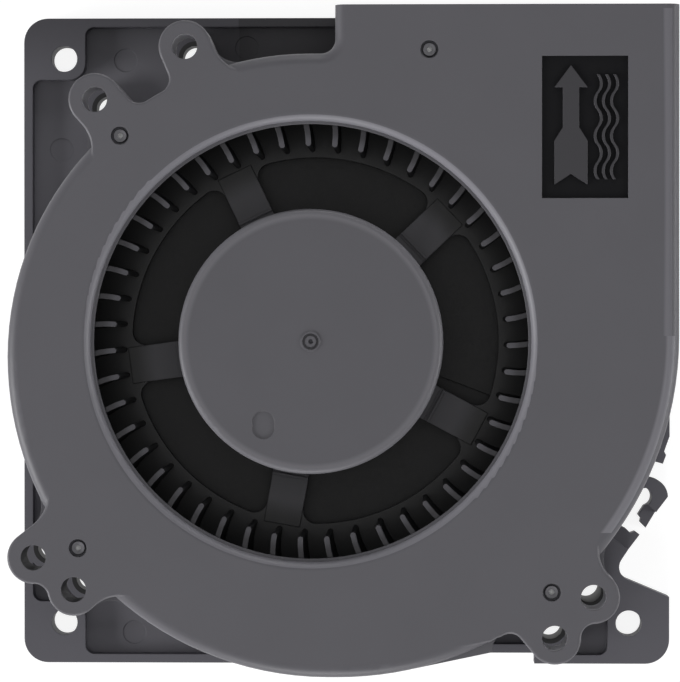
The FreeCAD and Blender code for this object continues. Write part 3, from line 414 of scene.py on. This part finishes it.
@dataclass(frozen=True)
class Speckled(Finish):
    """A filled or pressed solid, such as ferrite, epoxy, laminate or rubber.

    To the eye it is one colour broken by small lighter grains of its filler.
    """

    colour: str = "#2B2A2C"
    grain_colour: str = "#4A484A"
    roughness: float = 0.5
    grain_mm: float = 0.25
    grain_share: float = 0.35
    grain_depth_mm: float = 0.01
    coat: float = 0.0
    metallic: float = 0.0
    gloss: float = 0.5
    grain_strength: float = 0.5
    grain_threshold: float = 0.5
    grain_full: float = 0.7
    smoothest: float = 0.85
    roughest: float = 1.15

    def dress(self, sheet: NodeSheet, shader: bpy.types.Node) -> None:
        """Adds the filler's grains.

        Args:
            sheet: The material's nodes.
            shader: The material's surface shader.
        """
        place = sheet.add("ShaderNodeTexCoord").outputs["Object"]
        grain = sheet.add("ShaderNodeTexNoise",
                          {"Scale": per_metre(self.grain_mm), "Detail": 4.0, "Roughness": 0.7},
                          {"Vector": place})
        share = sheet.add("ShaderNodeMapRange",
                          {"From Min": self.grain_threshold, "From Max": self.grain_full,
                           "To Max": self.grain_share},
                          {"Value": grain.outputs["Fac"]})
        mix = sheet.add("ShaderNodeMix",
                        {"data_type": "RGBA", MIX_FROM: linear_colour(self.colour),
                         MIX_TO: linear_colour(self.grain_colour)},
                        {0: share.outputs["Result"]})
        rough = sheet.add("ShaderNodeMapRange",
                          {"To Min": self.roughness * self.smoothest,
                           "To Max": self.roughness * self.roughest},
                          {"Value": grain.outputs["Fac"]})
        bump = sheet.add("ShaderNodeBump",
                         {"Distance": self.grain_depth_mm * MM, "Strength": self.grain_strength},
                         {"Height": grain.outputs["Fac"]})
        shader.inputs["Metallic"].default_value = self.metallic
        shader.inputs["Coat Weight"].default_value = self.coat
        shader.inputs["Specular IOR Level"].default_value = self.gloss
        links = sheet.tree.links
        links.new(mix.outputs[MIX_RESULT], shader.inputs["Base Color"])
        links.new(rough.outputs["Result"], shader.inputs["Roughness"])
        links.new(bump.outputs["Normal"], shader.inputs["Normal"])


# Centres of the six screw ears and of the four staking posts, in millimetres.
EARS = (
    (-28.1, 52.6), (-44.2, 43.2), (-55.2, -38.6), (-48.0, -44.3), (44.7, -45.5), (37.8, -52.8),
)
LOWER_LEFT_EARS = EARS[2:4]
OTHER_EARS = EARS[:2] + EARS[4:]
POSTS = ((15.5, 52.0), (-39.68, 36.72), (-47.22, -36.87), (37.28, -44.62))

# The cover, base and wheel are one grey-black glass-filled polyester in three mouldings. The
# spark-eroded tool leaves them less glossy than the plastic itself would be.

# The raised arrow and waves of the air-flow mark are stained darker than the cover round them.
MARK_RAISED = Region("#2C2B2F", (35.6, 25.6, 31.9), (50.7, 50.7, 32.1))
# Painted highlights: the inlet's round lip and the cover's right edge, which is straight along the
# duct and follows the scroll below it, are painted lighter, as light caught on their rounding.
INLET_LIP_HIGHLIGHT = band("#77767C", (30.6, 31.94), (38.0, 41.2))
DUCT_EDGE_HIGHLIGHT = Region("#6E6D73", (57.0, 1.0, 31.9), (58.8, 59.2, 32.1), inner_radius=2057.0,
                   outer_radius=2060.0, centre=(-2000.0, 25.0), fade=0.7)
SCROLL_EDGE_HIGHLIGHT = Region("#7A797F", (40.0, -34.0, 30.6), (61.0, 1.0, 32.1), inner_radius=58.3,
                     outer_radius=60.1, centre=(-1.0, 1.0), fade=0.7)
# Painted light and shade in the ears' bores and the posts' wells: the ears' bores are painted
# light, apart from the two at the lower left, which are painted dark as shade, and the wells round
# the posts' heads are painted a little darker than the cover as shade.
EAR_BORE_LIGHT = wells("#D0CFD4", (20.0, 31.3), 2.3, OTHER_EARS)
EAR_BORE_SHADE = wells("#1B1A1D", (20.0, 31.3), 2.3, LOWER_LEFT_EARS)
POST_WELL_SHADE = wells("#55545A", (30.0, 31.9), 1.8, POSTS)
COVER_PLASTIC = MouldedPlastic(
    "moulded_polyester_cover", "#58575C", roughness=0.46,
    regions=(MARK_RAISED, INLET_LIP_HIGHLIGHT, DUCT_EDGE_HIGHLIGHT, SCROLL_EDGE_HIGHLIGHT) + EAR_BORE_LIGHT + EAR_BORE_SHADE + POST_WELL_SHADE,
)

# The base lies deep in the housing, and its light and shade are painted. Its pan is painted a
# little lighter. Its floor under the wheel, the strip left of the duct, the upper left corner and
# the bores under the ears are painted darker as shade, the strip as the duct wall's shadow. The
# posts' pressed heads are painted pale as light, with a painted white highlight in each dimple.
BASE_PAN_LIGHT = Region("#6C6B71", (-HALF_SIDE, -HALF_SIDE, 1.8), (HALF_SIDE, HALF_SIDE, 2.5))
BASE_FLOOR_SHADE = band("#0B0B0D", (0.0, 10.0), (0.0, 46.0))
BASE_STRIP_SHADOW = Region("#1F1E22", (-34.0, 45.0, 1.0), (0.0, 60.5, 5.4), inner_radius=166.0,
                    outer_radius=206.0, centre=(-200.0, 52.0), fade=13.0)
BASE_CORNER_SHADE = Region("#3A393E", (-60.5, 40.0, 1.0), (-20.0, 60.5, 5.4), inner_radius=146.0,
                     outer_radius=206.0, centre=(-42.0, -100.0), fade=18.0)
POST_HEAD_LIGHT = Region("#9C9BA0", (-HALF_SIDE, -HALF_SIDE, 29.5), (HALF_SIDE, HALF_SIDE, 32.1))
POST_DIMPLE_HIGHLIGHTS = wells("#F2F2F2", (30.0, 31.19), 0.48, POSTS)
BOSS_BORE_SHADE = wells("#08080A", (-0.5, 16.0), 3.1, EARS)
BASE_PLASTIC = MouldedPlastic(
    "moulded_polyester_base", "#57565C", grain_mm=0.55,
    regions=(BASE_PAN_LIGHT, BASE_FLOOR_SHADE, BASE_STRIP_SHADOW, BASE_CORNER_SHADE, POST_HEAD_LIGHT) + POST_DIMPLE_HIGHLIGHTS + BOSS_BORE_SHADE,
)

# Painted shade and highlights on the wheel: its ring and blades are painted darker than its hub
# and spokes as shade, apart from the inner tips of the blades' top faces, which are painted less
# dark. The hub's round edge and the rim of its roof are painted lighter as highlights.
WHEEL_RING_SHADE = band("#121214", (4.0, 29.5), (29.5, 46.0), fade=4.3)
BLADE_TOP_SHADE = band("#4E4D52", (27.9, 28.6), (34.0, 46.0))
BLADE_NECK_SHADE = band("#232226", (27.9, 28.6), (35.6, 46.0), fade=2.2)
HUB_ROOF_HIGHLIGHT = band("#6A696E", (30.46, 30.6), (21.6, 24.5), fade=1.0)
HUB_EDGE_HIGHLIGHT = band("#6C6B70", (29.2, 30.46), (21.5, 24.5))
WHEEL_PLASTIC = MouldedPlastic(
    "moulded_polyester_wheel", "#56555A", roughness=0.46, grain_mm=0.4, grain_depth_mm=0.012,
    regions=(WHEEL_RING_SHADE, BLADE_TOP_SHADE, BLADE_NECK_SHADE, HUB_ROOF_HIGHLIGHT, HUB_EDGE_HIGHLIGHT),
)

# Black stain on the sunk field of the mark is dead matt.
BLACK_STAIN = Speckled("matt_black_stain", "#131315", "#1D1D1F", roughness=0.85, grain_mm=0.4,
                       grain_depth_mm=0.006, gloss=0.12)
# Nylon formers and cages show a soft grain and a warm white or cream shade.
FORMER_NYLON = MouldedPlastic("moulded_nylon_former", "#DEDBD0", roughness=0.45, grain_mm=0.5,
                              gloss=0.5)
CAGE_NYLON = MouldedPlastic("moulded_nylon_cage", "#CFC5AA", roughness=0.4, grain_mm=0.3,
                            gloss=0.5)
# Turned, ground, drawn and rolled metals keep marks 0.06 to 0.25 mm wide.
TURNED_BRASS = CutMetal("turned_brass", "#C7A45C", roughness=0.28, mark_mm=0.15)
TINNED_BRASS = CutMetal("tinned_brass_pin", "#CFCFCB", roughness=0.3, lay=Lay.DRAWN)
GROUND_STEEL = CutMetal("ground_steel_shaft", "#C8CACE", roughness=0.16, mark_mm=0.08)
RACE_STEEL = CutMetal("ground_bearing_steel", "#C6C8CC", roughness=0.12, mark_mm=0.06)
SPRING_STEEL = CutMetal("bright_spring_steel", "#B4B6BA", roughness=0.3, lay=Lay.ROLLED)
DRAWN_STEEL = CutMetal("drawn_zinc_plated_steel", "#A6A8AA", roughness=0.38, lay=Lay.DRAWN,
                       mark_mm=0.2)
SILICON_STEEL = CutMetal("stamped_silicon_steel", "#8E9094", roughness=0.42, lay=Lay.ROLLED)
CAN_ALUMINIUM = CutMetal("drawn_aluminium_can", "#C9CBCE", roughness=0.3, lay=Lay.DRAWN)
LABEL_FOIL = CutMetal("brushed_label_foil", "#C2C3C5", roughness=0.4, lay=Lay.ROLLED, mark_mm=0.25)
# Enamel over copper is a clear coat with a warm red metal under it.
WIRE_ENAMEL = Speckled("enamelled_copper_wire", "#B5602F", "#C97A45", roughness=0.3, grain_mm=0.6,
                       grain_depth_mm=0.002, coat=0.6, metallic=0.8)
PRESSED_FERRITE = Speckled("pressed_ferrite", "#29282A", "#504E50")
CHIP_EPOXY = Speckled("moulded_chip_epoxy", "#1C1C1E", "#3A3A3C", roughness=0.6, grain_mm=0.15)
BOARD_MASK = Speckled("glass_laminate_with_mask", "#1F5A36", "#2F7A4A", roughness=0.35,
                      grain_mm=0.8, grain_share=0.5, coat=0.3)
CAP_RUBBER = Speckled("moulded_rubber_cap", "#1B1B1D", "#2C2C2E", roughness=0.75, grain_mm=0.3)
RESISTOR_GLAZE = Speckled("glazed_resistor", "#232327", "#3C3C44", roughness=0.3, grain_mm=0.2)
SOLDER = Speckled("reflowed_solder", "#B9BBBD", "#D8DADC", roughness=0.28, grain_mm=0.3,
                  grain_depth_mm=0.004, metallic=1.0)


@dataclass
class MeshShop:
    """Builds one mesh piece face by face, in metres.

    The corners of a tube's section are counted from the tilt, a direction that no path follows.
    """

    name: str
    tilt: tuple[float, float, float] = (0.3, 0.2, 1.0)
    mesh: bmesh.types.BMesh = field(default_factory=bmesh.new)

    def tube(self, path: list[Vector], radius: float, sides: int) -> None:
        """Sweeps a round section along a path whose last point joins its first.

        Args:
            path: The section's centres in order.
            radius: The section's radius.
            sides: How many corners the section has.
        """
        count = len(path)
        rings = []
        for index, centre in enumerate(path):
            along = (path[(index + 1) % count] - path[index - 1]).normalized()
            across = along.cross(Vector(self.tilt)).normalized()
            up = across.cross(along)
            ring = []
            for side in range(sides):
                turn = 2 * math.pi * side / sides
                offset = across * math.cos(turn) + up * math.sin(turn)
                ring.append(self.mesh.verts.new(centre + offset * radius))
            rings.append(ring)
        for index, ring in enumerate(rings):
            other = rings[(index + 1) % count]
            for side in range(sides):
                far = (side + 1) % sides
                self.mesh.faces.new((ring[side], ring[far], other[far], other[side]))

    def lathe(self, profile: list[tuple[float, float]], centre: Vector, segments: int) -> None:
        """Turns a closed outline of (radius, height) points about an upright axis.

        Args:
            profile: The outline's points, in order.
            centre: The point that radius and height are counted from.
            segments: How many flats go round.
        """
        rings = []
        for index in range(segments):
            turn = 2 * math.pi * index / segments
            way = Vector((math.cos(turn), math.sin(turn), 0.0))
            rings.append([self.mesh.verts.new(centre + way * radius + Vector((0.0, 0.0, height)))
                          for radius, height in profile])
        points = len(profile)
        for index, ring in enumerate(rings):
            other = rings[(index + 1) % segments]
            for low in range(points):
                high = (low + 1) % points
                self.mesh.faces.new((ring[low], other[low], other[high], ring[high]))

    def slab(self, outline: list[tuple[float, float]], low: float, high: float,
             place: Callable[[Vector], Vector]) -> None:
        """Makes a flat outline solid between two heights.

        Args:
            outline: The (x, y) corners, anticlockwise seen from above.
            low: The lower height.
            high: The upper height.
            place: What moves each finished point into place.
        """
        floor = [self.mesh.verts.new(place(Vector((x, y, low)))) for x, y in outline]
        roof = [self.mesh.verts.new(place(Vector((x, y, high)))) for x, y in outline]
        self.mesh.faces.new(list(reversed(floor)))
        self.mesh.faces.new(roof)
        for index in range(len(outline)):
            after = (index + 1) % len(outline)
            self.mesh.faces.new((floor[index], floor[after], roof[after], roof[index]))

    def skin(self, faces: list[list[Vector]], low: float, high: float) -> None:
        """Makes flat level faces into one closed skin between two heights.

        Args:
            faces: Each face's corners, anticlockwise seen from above.
            low: The lower height.
            high: The upper height.
        """
        levels = []
        for height in (low, high):
            level: dict[tuple[float, float], bmesh.types.BMVert] = {}
            for corner in (corner for face in faces for corner in face):
                key = self.key(corner)
                if key not in level:
                    level[key] = self.mesh.verts.new((corner.x, corner.y, height))
            levels.append(level)
        floor, roof = levels
        sides = set()
        for face in faces:
            keys = [self.key(corner) for corner in face]
            self.mesh.faces.new([floor[key] for key in reversed(keys)])
            self.mesh.faces.new([roof[key] for key in keys])
            sides.update(zip(keys, keys[1:] + keys[:1]))
        for near, far in sorted(sides):
            if (far, near) not in sides:
                self.mesh.faces.new((floor[near], floor[far], roof[far], roof[near]))

    @staticmethod
    def key(corner: Vector) -> tuple[float, float]:
        """Returns what faces that share a corner all call it."""
        return round(corner.x, WELD_DECIMALS), round(corner.y, WELD_DECIMALS)

    def finish(self, finish: Finish, body: str, slot: str,
               smooth_degrees: float = 35.0) -> bpy.types.Object:
        """Closes the mesh into a piece that rides on a body.

        Args:
            finish: The piece's finish.
            body: The CAD body that it moves with.
            slot: The record's material slot; not used.
            smooth_degrees: Edges sharper than this stay sharp.

        Returns:
            The new object.
        """
        bmesh.ops.recalc_face_normals(self.mesh, faces=self.mesh.faces)
        data = bpy.data.meshes.new(self.name)
        self.mesh.to_mesh(data)
        self.mesh.free()
        data.shade_smooth()
        data.set_sharp_from_angle(angle=math.radians(smooth_degrees))
        data.materials.append(finish.material())
        piece = bpy.data.objects.new(self.name, data)
        bpy.context.scene.collection.objects.link(piece)
        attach(piece, body)
        LOG.info("piece %s: %d faces on %s", self.name, len(data.polygons), body)
        return piece


@dataclass
class CarriedNodes:
    """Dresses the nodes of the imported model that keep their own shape."""

    nodes: dict[str, bpy.types.Object]

    def dress(self, names: Iterable[str], finish: Finish) -> None:
        """Gives nodes a finish.

        Args:
            names: The nodes' names.
            finish: What they are made of.
        """
        for name in names:
            data = self.nodes[name].data
            data.materials.clear()
            data.materials.append(finish.material())
            LOG.info("node %s dressed in %s", name, finish.name)


@dataclass
class Housing:
    """The cover and the base, what closes the back, and the stain on the air-flow mark.

    The mark's sunk field lies at the floor's height between its low and high corner, and the
    stain reaches half its thickness above and below that floor. A face counts as level where
    its normal's upright share is over level_normal.
    """

    carried: CarriedNodes
    mark_low: tuple[float, float] = (35.0 * MM, 25.0 * MM)
    mark_high: tuple[float, float] = (51.5 * MM, 51.5 * MM)
    mark_floor: float = 31.6 * MM
    stain_half: float = 0.03 * MM
    level_normal: float = 0.99

    def build(self) -> None:
        """Dresses the two shells and what closes the back, and stains the mark's field."""
        self.carried.dress(["scroll_cover"], COVER_PLASTIC)
        self.carried.dress(["base_plate"], BASE_PLASTIC)
        self.carried.dress(["dust_cap"], CAP_RUBBER)
        self.carried.dress(["back_label"], LABEL_FOIL)
        self.mark_stain()

    def mark_stain(self) -> None:
        """Lays a thin black skin on the sunk field of the air-flow mark."""
        data = self.carried.nodes["scroll_cover"].data
        faces = [[data.vertices[index].co for index in polygon.vertices]
                 for polygon in data.polygons if self.on_mark_floor(polygon)]
        shop = MeshShop("flow_mark_stain")
        shop.skin(faces, self.mark_floor - self.stain_half,
                  self.mark_floor + self.stain_half)
        shop.finish(BLACK_STAIN, "housing", "cover_plastic")

    def on_mark_floor(self, polygon: bpy.types.MeshPolygon) -> bool:
        """Returns whether a face of the cover is part of the mark's sunk field."""
        centre = polygon.center
        return (polygon.normal.z > self.level_normal
                and abs(centre.z - self.mark_floor) < self.stain_half
                and self.mark_low[0] < centre.x < self.mark_high[0]
                and self.mark_low[1] < centre.y < self.mark_high[1])


@dataclass
class Rotor:
    """The wheel with the metal inside its hub."""

    carried: CarriedNodes
    axis_x: float = field(default_factory=fan_axis_x)
    spokes: int = 5
    first_spoke: float = math.radians(43.7)
    ridge_inner: float = 25.2 * MM
    ridge_outer: float = 25.75 * MM
    ridge_half_width: float = 3.35 * MM
    ridge_low: float = 6.2 * MM
    ridge_high: float = 7.6 * MM

    def build(self) -> None:
        """Dresses the wheel, yoke, magnet, shaft and small parts, and adds the spokes' ridges."""
        self.carried.dress(["impeller"], WHEEL_PLASTIC)
        self.carried.dress(["rotor_yoke"], DRAWN_STEEL)
        self.carried.dress(["rotor_magnet"], PRESSED_FERRITE)
        self.carried.dress(["motor_shaft"], GROUND_STEEL)
        self.carried.dress(["shaft_bush"], TURNED_BRASS)
        self.carried.dress(["preload_spring", "retaining_clip", "thrust_washer"], SPRING_STEEL)
        self.spoke_ridges()

    def spoke_ridges(self) -> None:
        """Adds the low ridge that stands across the root of each spoke."""
        inner, outer, half = self.ridge_inner, self.ridge_outer, self.ridge_half_width
        outline = [(inner, -half), (outer, -half), (outer, half), (inner, half)]
        centre = Vector((self.axis_x, 0.0, 0.0))
        shop = MeshShop("spoke_ridges")
        for index in range(self.spokes):
            spin = Matrix.Rotation(self.first_spoke + 2 * math.pi * index / self.spokes, 3, "Z")
            shop.slab(outline, self.ridge_low, self.ridge_high, lambda point: spin @ point + centre)
        shop.finish(WHEEL_PLASTIC, "rotor", "impeller_plastic")


@dataclass
class Bearings:
    """The two ball bearings and the tube that holds them."""

    carried: CarriedNodes

    def build(self) -> None:
        """Dresses tube, races, balls, cages and shields."""
        self.carried.dress(["bearing_tube"], TURNED_BRASS)
        for side in ("upper", "lower"):
            steel = [f"{side}_bearing_{part}" for part in ("outer_ring", "inner_ring", "balls")]
            self.carried.dress(steel, RACE_STEEL)
            self.carried.dress([f"{side}_bearing_cage"], CAGE_NYLON)
            self.carried.dress([f"{side}_bearing_shields"], SPRING_STEEL)


@dataclass
class Stator:
    """Laminations, formers, pins and the wound coils, whose sizes are in metres."""

    carried: CarriedNodes
    axis_x: float = field(default_factory=fan_axis_x)
    wire_radius: float = 0.25 * MM
    layers: int = 5
    coil_inner_radius: float = 8.83 * MM
    corner_radius: float = 1.2 * MM
    coil_half_width: float = 5.26 * MM
    arms: int = 4
    corner_steps: int = 5
    wire_sides: int = 8

    def build(self) -> None:
        """Dresses the stator's nodes and winds the coils."""
        self.carried.dress(["stator_laminations"], SILICON_STEEL)
        self.carried.dress(["upper_insulator", "lower_insulator"], FORMER_NYLON)
        self.carried.dress(["winding_pins"], TINNED_BRASS)
        self.carried.dress(["stator_coils"], WIRE_ENAMEL)
        self.wind_coils()

    def turn_path(self, along: float, inset: float, middle: float, rise: float,
                  angle: float) -> list[Vector]:
        """Lays one turn of wire round an arm.

        Args:
            along: The turn's distance from the fan's axis.
            inset: How far the wire's centre lies inside the coil's outside.
            middle: The height of the arm's middle.
            rise: Half the coil's height.
            angle: The arm's angle in radians.

        Returns:
            The wire's centre points, a closed round-cornered loop.
        """
        half_width = self.coil_half_width - inset
        half_height = rise - inset
        radius = max(self.corner_radius - inset, self.wire_radius)
        points = []
        # The loop's four corners, anticlockwise from the upper right one.
        for corner, (side, level) in enumerate(((1, 1), (-1, 1), (-1, -1), (1, -1))):
            centre = Vector((0.0, side * (half_width - radius), level * (half_height - radius)))
            for step in range(self.corner_steps + 1):
                turn = math.pi / 2 * (corner + step / self.corner_steps)
                offset = Vector((0.0, math.cos(turn), math.sin(turn))) * radius
                points.append(centre + offset + Vector((along, 0.0, 0.0)))
        spin = Matrix.Rotation(angle, 3, "Z")
        return [spin @ point + Vector((self.axis_x, 0.0, middle)) for point in points]

    def wind_coils(self) -> None:
        """Winds the outer layer and the ends of the inner layers of each coil."""
        low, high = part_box("stator_coils")
        middle = (low.z + high.z) / 2
        rise = (high.z - low.z) / 2
        coil_outer_radius = high.x - self.axis_x
        pitch = 2 * self.wire_radius
        room = coil_outer_radius - self.coil_inner_radius
        turns = int(room / pitch)
        start = self.coil_inner_radius + (room - turns * pitch) / 2 + self.wire_radius
        shop = MeshShop("wound_coils")
        for arm in range(self.arms):
            angle = 2 * math.pi * arm / self.arms
            for turn in range(turns):
                ends_only = turn in (0, turns - 1)
                for layer in range(self.layers if ends_only else 1):
                    inset = self.wire_radius + layer * pitch
                    path = self.turn_path(start + turn * pitch, inset, middle, rise, angle)
                    shop.tube(path, self.wire_radius, self.wire_sides)
        piece = shop.finish(WIRE_ENAMEL, "housing", "copper_winding", smooth_degrees=60.0)
        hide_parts("stator_coils")


@dataclass
class Board:
    """The circuit board, its parts, and the leads and solder that hold them."""

    carried: CarriedNodes
    axis_x: float = field(default_factory=fan_axis_x)
    lead_width: float = 0.4 * MM
    lead_thickness: float = 0.15 * MM
    lead_reach: float = 0.9 * MM
    leads_per_side: int = 4
    lead_pitch: float = 1.27 * MM
    chip_angle: float = math.radians(225.0)
    chip_width: float = 3.9 * MM
    chip_circle: float = 12.65 * MM
    solder_foot_radius: float = 0.68 * MM
    solder_knee_radius: float = 0.56 * MM
    solder_inner_radius: float = 0.42 * MM
    solder_knee_height: float = 0.14 * MM
    solder_height: float = 0.35 * MM
    solder_segments: int = 20
    end_slack: float = 0.01 * MM
    pin_width: float = 1.0 * MM

    def build(self) -> None:
        """Dresses the board's nodes and adds leads and solder."""
        self.carried.dress(["circuit_board"], BOARD_MASK)
        self.carried.dress(["driver_chip", "hall_sensor"], CHIP_EPOXY)
        self.carried.dress(["smoothing_capacitor"], CAN_ALUMINIUM)
        self.carried.dress(["chip_resistors"], RESISTOR_GLAZE)
        self.chip_leads()
        self.pin_solder()

    def chip_leads(self) -> None:
        """Adds the driver chip's leads, from its sides to the board."""
        board_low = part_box("circuit_board")[0].z
        chip_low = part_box("driver_chip")[0].z
        middle = (board_low + chip_low) / 2
        spin = Matrix.Rotation(self.chip_angle, 3, "Z")
        centre = Vector((self.axis_x, 0.0, 0.0))
        shop = MeshShop("driver_chip_leads")
        half = self.lead_width / 2
        for side in (-1, 1):
            edge = self.chip_circle + side * self.chip_width / 2
            knee = edge + side * self.lead_reach / 2
            foot = edge + side * self.lead_reach
            for index in range(self.leads_per_side):
                across = (index - (self.leads_per_side - 1) / 2) * self.lead_pitch
                for near, far, low, high in (
                    (edge, knee, middle, middle + self.lead_thickness),
                    (knee, foot, board_low - self.lead_thickness, board_low),
                    (knee - side * self.lead_thickness, knee, middle, board_low),
                ):
                    left, right = min(near, far), max(near, far)
                    outline = [(left, across - half), (right, across - half),
                               (right, across + half), (left, across + half)]
                    shop.slab(outline, low, high, lambda point: spin @ point + centre)
        shop.finish(TINNED_BRASS, "housing", "tinned_brass")

    def pin_solder(self) -> None:
        """Adds a solder cone round each winding pin under the board."""
        board_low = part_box("circuit_board")[0].z
        pins_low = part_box("winding_pins")[0].z
        shop = MeshShop("pin_solder")
        for x, y in self.pin_centres(self.carried.nodes["winding_pins"].data, pins_low):
            centre = Vector((x, y, board_low))
            profile = [(self.solder_inner_radius, 0.0), (self.solder_foot_radius, 0.0),
                       (self.solder_knee_radius, -self.solder_knee_height),
                       (self.solder_inner_radius, -self.solder_height)]
            shop.lathe(profile, centre, self.solder_segments)
        shop.finish(SOLDER, "housing", "tinned_brass", smooth_degrees=60.0)

    def pin_centres(self, pins: bpy.types.Mesh, low: float) -> list[tuple[float, float]]:
        """Finds each pin's centre from the lowest ring of its vertices.

        Args:
            pins: The pins' mesh.
            low: The height of the pins' lower ends.

        Returns:
            The (x, y) centres.
        """
        groups: list[list[Vector]] = []
        for vertex in pins.vertices:
            if abs(vertex.co.z - low) > self.end_slack:
                continue
            near = [group for group in groups if (group[0] - vertex.co).length < self.pin_width]
            if near:
                near[0].append(vertex.co)
            else:
                groups.append([vertex.co])
        centres = []
        for group in groups:
            xs = [point.x for point in group]
            ys = [point.y for point in group]
            centres.append(((min(xs) + max(xs)) / 2, (min(ys) + max(ys)) / 2))
        return centres


@dataclass
class PhotoCamera:
    """The camera at the photograph's viewing angle, looking down on the inlet.

    Its place and target are in millimetres and its focal length in pixels of the picture.
    """

    place_mm: tuple[float, float, float] = (15.6, 3.8, 632.0)
    target_mm: tuple[float, float, float] = (-0.4, 0.1, 32.0)
    focal_pixels: float = 3372.0

    def build(self) -> None:
        """Makes the camera and hands it to the scene."""
        data = bpy.data.cameras.new("photo_camera")
        data.sensor_width = SENSOR_WIDTH_MM
        data.lens = self.focal_pixels / max(PICTURE_WIDTH, PICTURE_HEIGHT) * SENSOR_WIDTH_MM
        data.clip_start = 0.01
        data.clip_end = 50.0
        camera = bpy.data.objects.new("photo_camera", data)
        bpy.context.scene.collection.objects.link(camera)
        place = Vector(self.place_mm) * MM
        target = Vector(self.target_mm) * MM
        forward = (target - place).normalized()
        right = forward.cross(Vector((0.0, 1.0, 0.0))).normalized()
        up = right.cross(forward)
        turn = Matrix((right, up, -forward)).transposed()
        camera.matrix_world = Matrix.Translation(place) @ turn.to_4x4()
        bpy.context.scene.camera = camera
        LOG.info("camera at %s with a lens of %.1f mm", tuple(place), data.lens)


@dataclass(frozen=True)
class Softbox:
    """A square lamp that points at the fan, in metres and watts."""

    name: str
    place: tuple[float, float, float]
    side: float
    power: float
    target: tuple[float, float, float] = (0.0, 0.0, 0.02)

    def build(self) -> None:
        """Makes the lamp."""
        data = bpy.data.lights.new(self.name, "AREA")
        data.shape = "SQUARE"
        data.size = self.side
        data.energy = self.power
        lamp = bpy.data.objects.new(self.name, data)
        bpy.context.scene.collection.objects.link(lamp)
        lamp.location = self.place
        aim = Vector(self.target) - Vector(self.place)
        lamp.rotation_mode = "QUATERNION"
        lamp.rotation_quaternion = aim.to_track_quat("-Z", "Y")


# Four low lamps graze the fan from its sides, and a weak one stands above it.
SOFTBOXES = (
    Softbox("left_softbox", (-0.72, -0.2, 0.21), 0.35, 5.6),
    Softbox("right_softbox", (0.74, -0.08, 0.21), 0.35, 3.1),
    Softbox("lower_softbox", (-0.05, -0.75, 0.21), 0.35, 3.5),
    Softbox("upper_softbox", (0.1, 0.75, 0.21), 0.35, 2.1),
    Softbox("top_softbox", (0.0, 0.0, 1.2), 0.6, 1.6),
)


@dataclass
class Studio:
    """A white floor under the fan, even white light all round, and the lamps.

    The floor's half side and its drop under the fan are in metres.
    """

    floor_half: float = 3.0
    floor_drop: float = 0.05 * MM
    paper_grey: float = 0.3
    floor_glow: float = 0.87
    world_light: float = 0.06

    def build(self) -> None:
        """Makes the floor, the world and the lamps."""
        self.floor()
        self.world()
        for softbox in SOFTBOXES:
            softbox.build()

    @staticmethod
    def background_ray(sheet: NodeSheet) -> bpy.types.NodeSocket:
        """Adds the test whether a ray comes from the camera, a mirror or a clear surface.

        Args:
            sheet: The nodes that take the test.

        Returns:
            A socket that is one for such a ray.
        """
        path = sheet.add("ShaderNodeLightPath")
        first = sheet.add("ShaderNodeMath", {"operation": "MAXIMUM"},
                          {0: path.outputs["Is Camera Ray"], 1: path.outputs["Is Glossy Ray"]})
        both = sheet.add("ShaderNodeMath", {"operation": "MAXIMUM"},
                         {0: first.outputs[0], 1: path.outputs["Is Transmission Ray"]})
        return both.outputs[0]

    def floor(self) -> None:
        """Lays a matt white floor that keeps a soft shadow."""
        shop = bmesh.new()
        half = self.floor_half
        corners = [shop.verts.new((x * half, y * half, -self.floor_drop)) for x, y in
                   ((-1, -1), (1, -1), (1, 1), (-1, 1))]
        shop.faces.new(corners)
        data = bpy.data.meshes.new("studio_floor")
        shop.to_mesh(data)
        shop.free()
        made = bpy.data.materials.new("white_paper_floor")
        made.use_nodes = True
        made.node_tree.nodes.clear()
        sheet = NodeSheet(made.node_tree)
        paper = sheet.add("ShaderNodeBsdfDiffuse", {"Color": (self.paper_grey,) * 3 + (1.0,)})
        strength = sheet.add("ShaderNodeMath", {"operation": "MULTIPLY", 1: self.floor_glow},
                             {0: self.background_ray(sheet)})
        glow = sheet.add("ShaderNodeEmission", links={"Strength": strength.outputs[0]})
        both = sheet.add("ShaderNodeAddShader",
                         links={0: paper.outputs["BSDF"], 1: glow.outputs["Emission"]})
        sheet.add("ShaderNodeOutputMaterial", links={"Surface": both.outputs["Shader"]})
        data.materials.append(made)
        floor = bpy.data.objects.new("studio_floor", data)
        bpy.context.scene.collection.objects.link(floor)

    def world(self) -> None:
        """Fills the world with even white light, brighter where it is seen."""
        world = bpy.data.worlds.new("white_studio")
        world.use_nodes = True
        world.node_tree.nodes.clear()
        sheet = NodeSheet(world.node_tree)
        strength = sheet.add("ShaderNodeMapRange", {"To Min": self.world_light, "To Max": 1.0},
                             {"Value": self.background_ray(sheet)})
        light = sheet.add("ShaderNodeBackground", {"Color": (1.0, 1.0, 1.0, 1.0)},
                          {"Strength": strength.outputs["Result"]})
        sheet.add("ShaderNodeOutputWorld", links={"Surface": light.outputs["Background"]})
        bpy.context.scene.world = world


def main(frame: dict[str, Any]) -> None:
    """Builds every sub-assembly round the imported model.

    Args:
        frame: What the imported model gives: bodies, nodes, joints and record.
    """
    logging.basicConfig(level=logging.INFO, format="%(message)s")
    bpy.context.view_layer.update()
    bpy.context.scene.view_settings.view_transform = "Standard"
    carried = CarriedNodes(frame["nodes"])
    for assembly in (Housing, Rotor, Bearings, Stator, Board):
        LOG.info("building %s", assembly.__name__)
        assembly(carried).build()
    PhotoCamera().build()
    Studio().build()


if __name__ == "__main__":
    main(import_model())
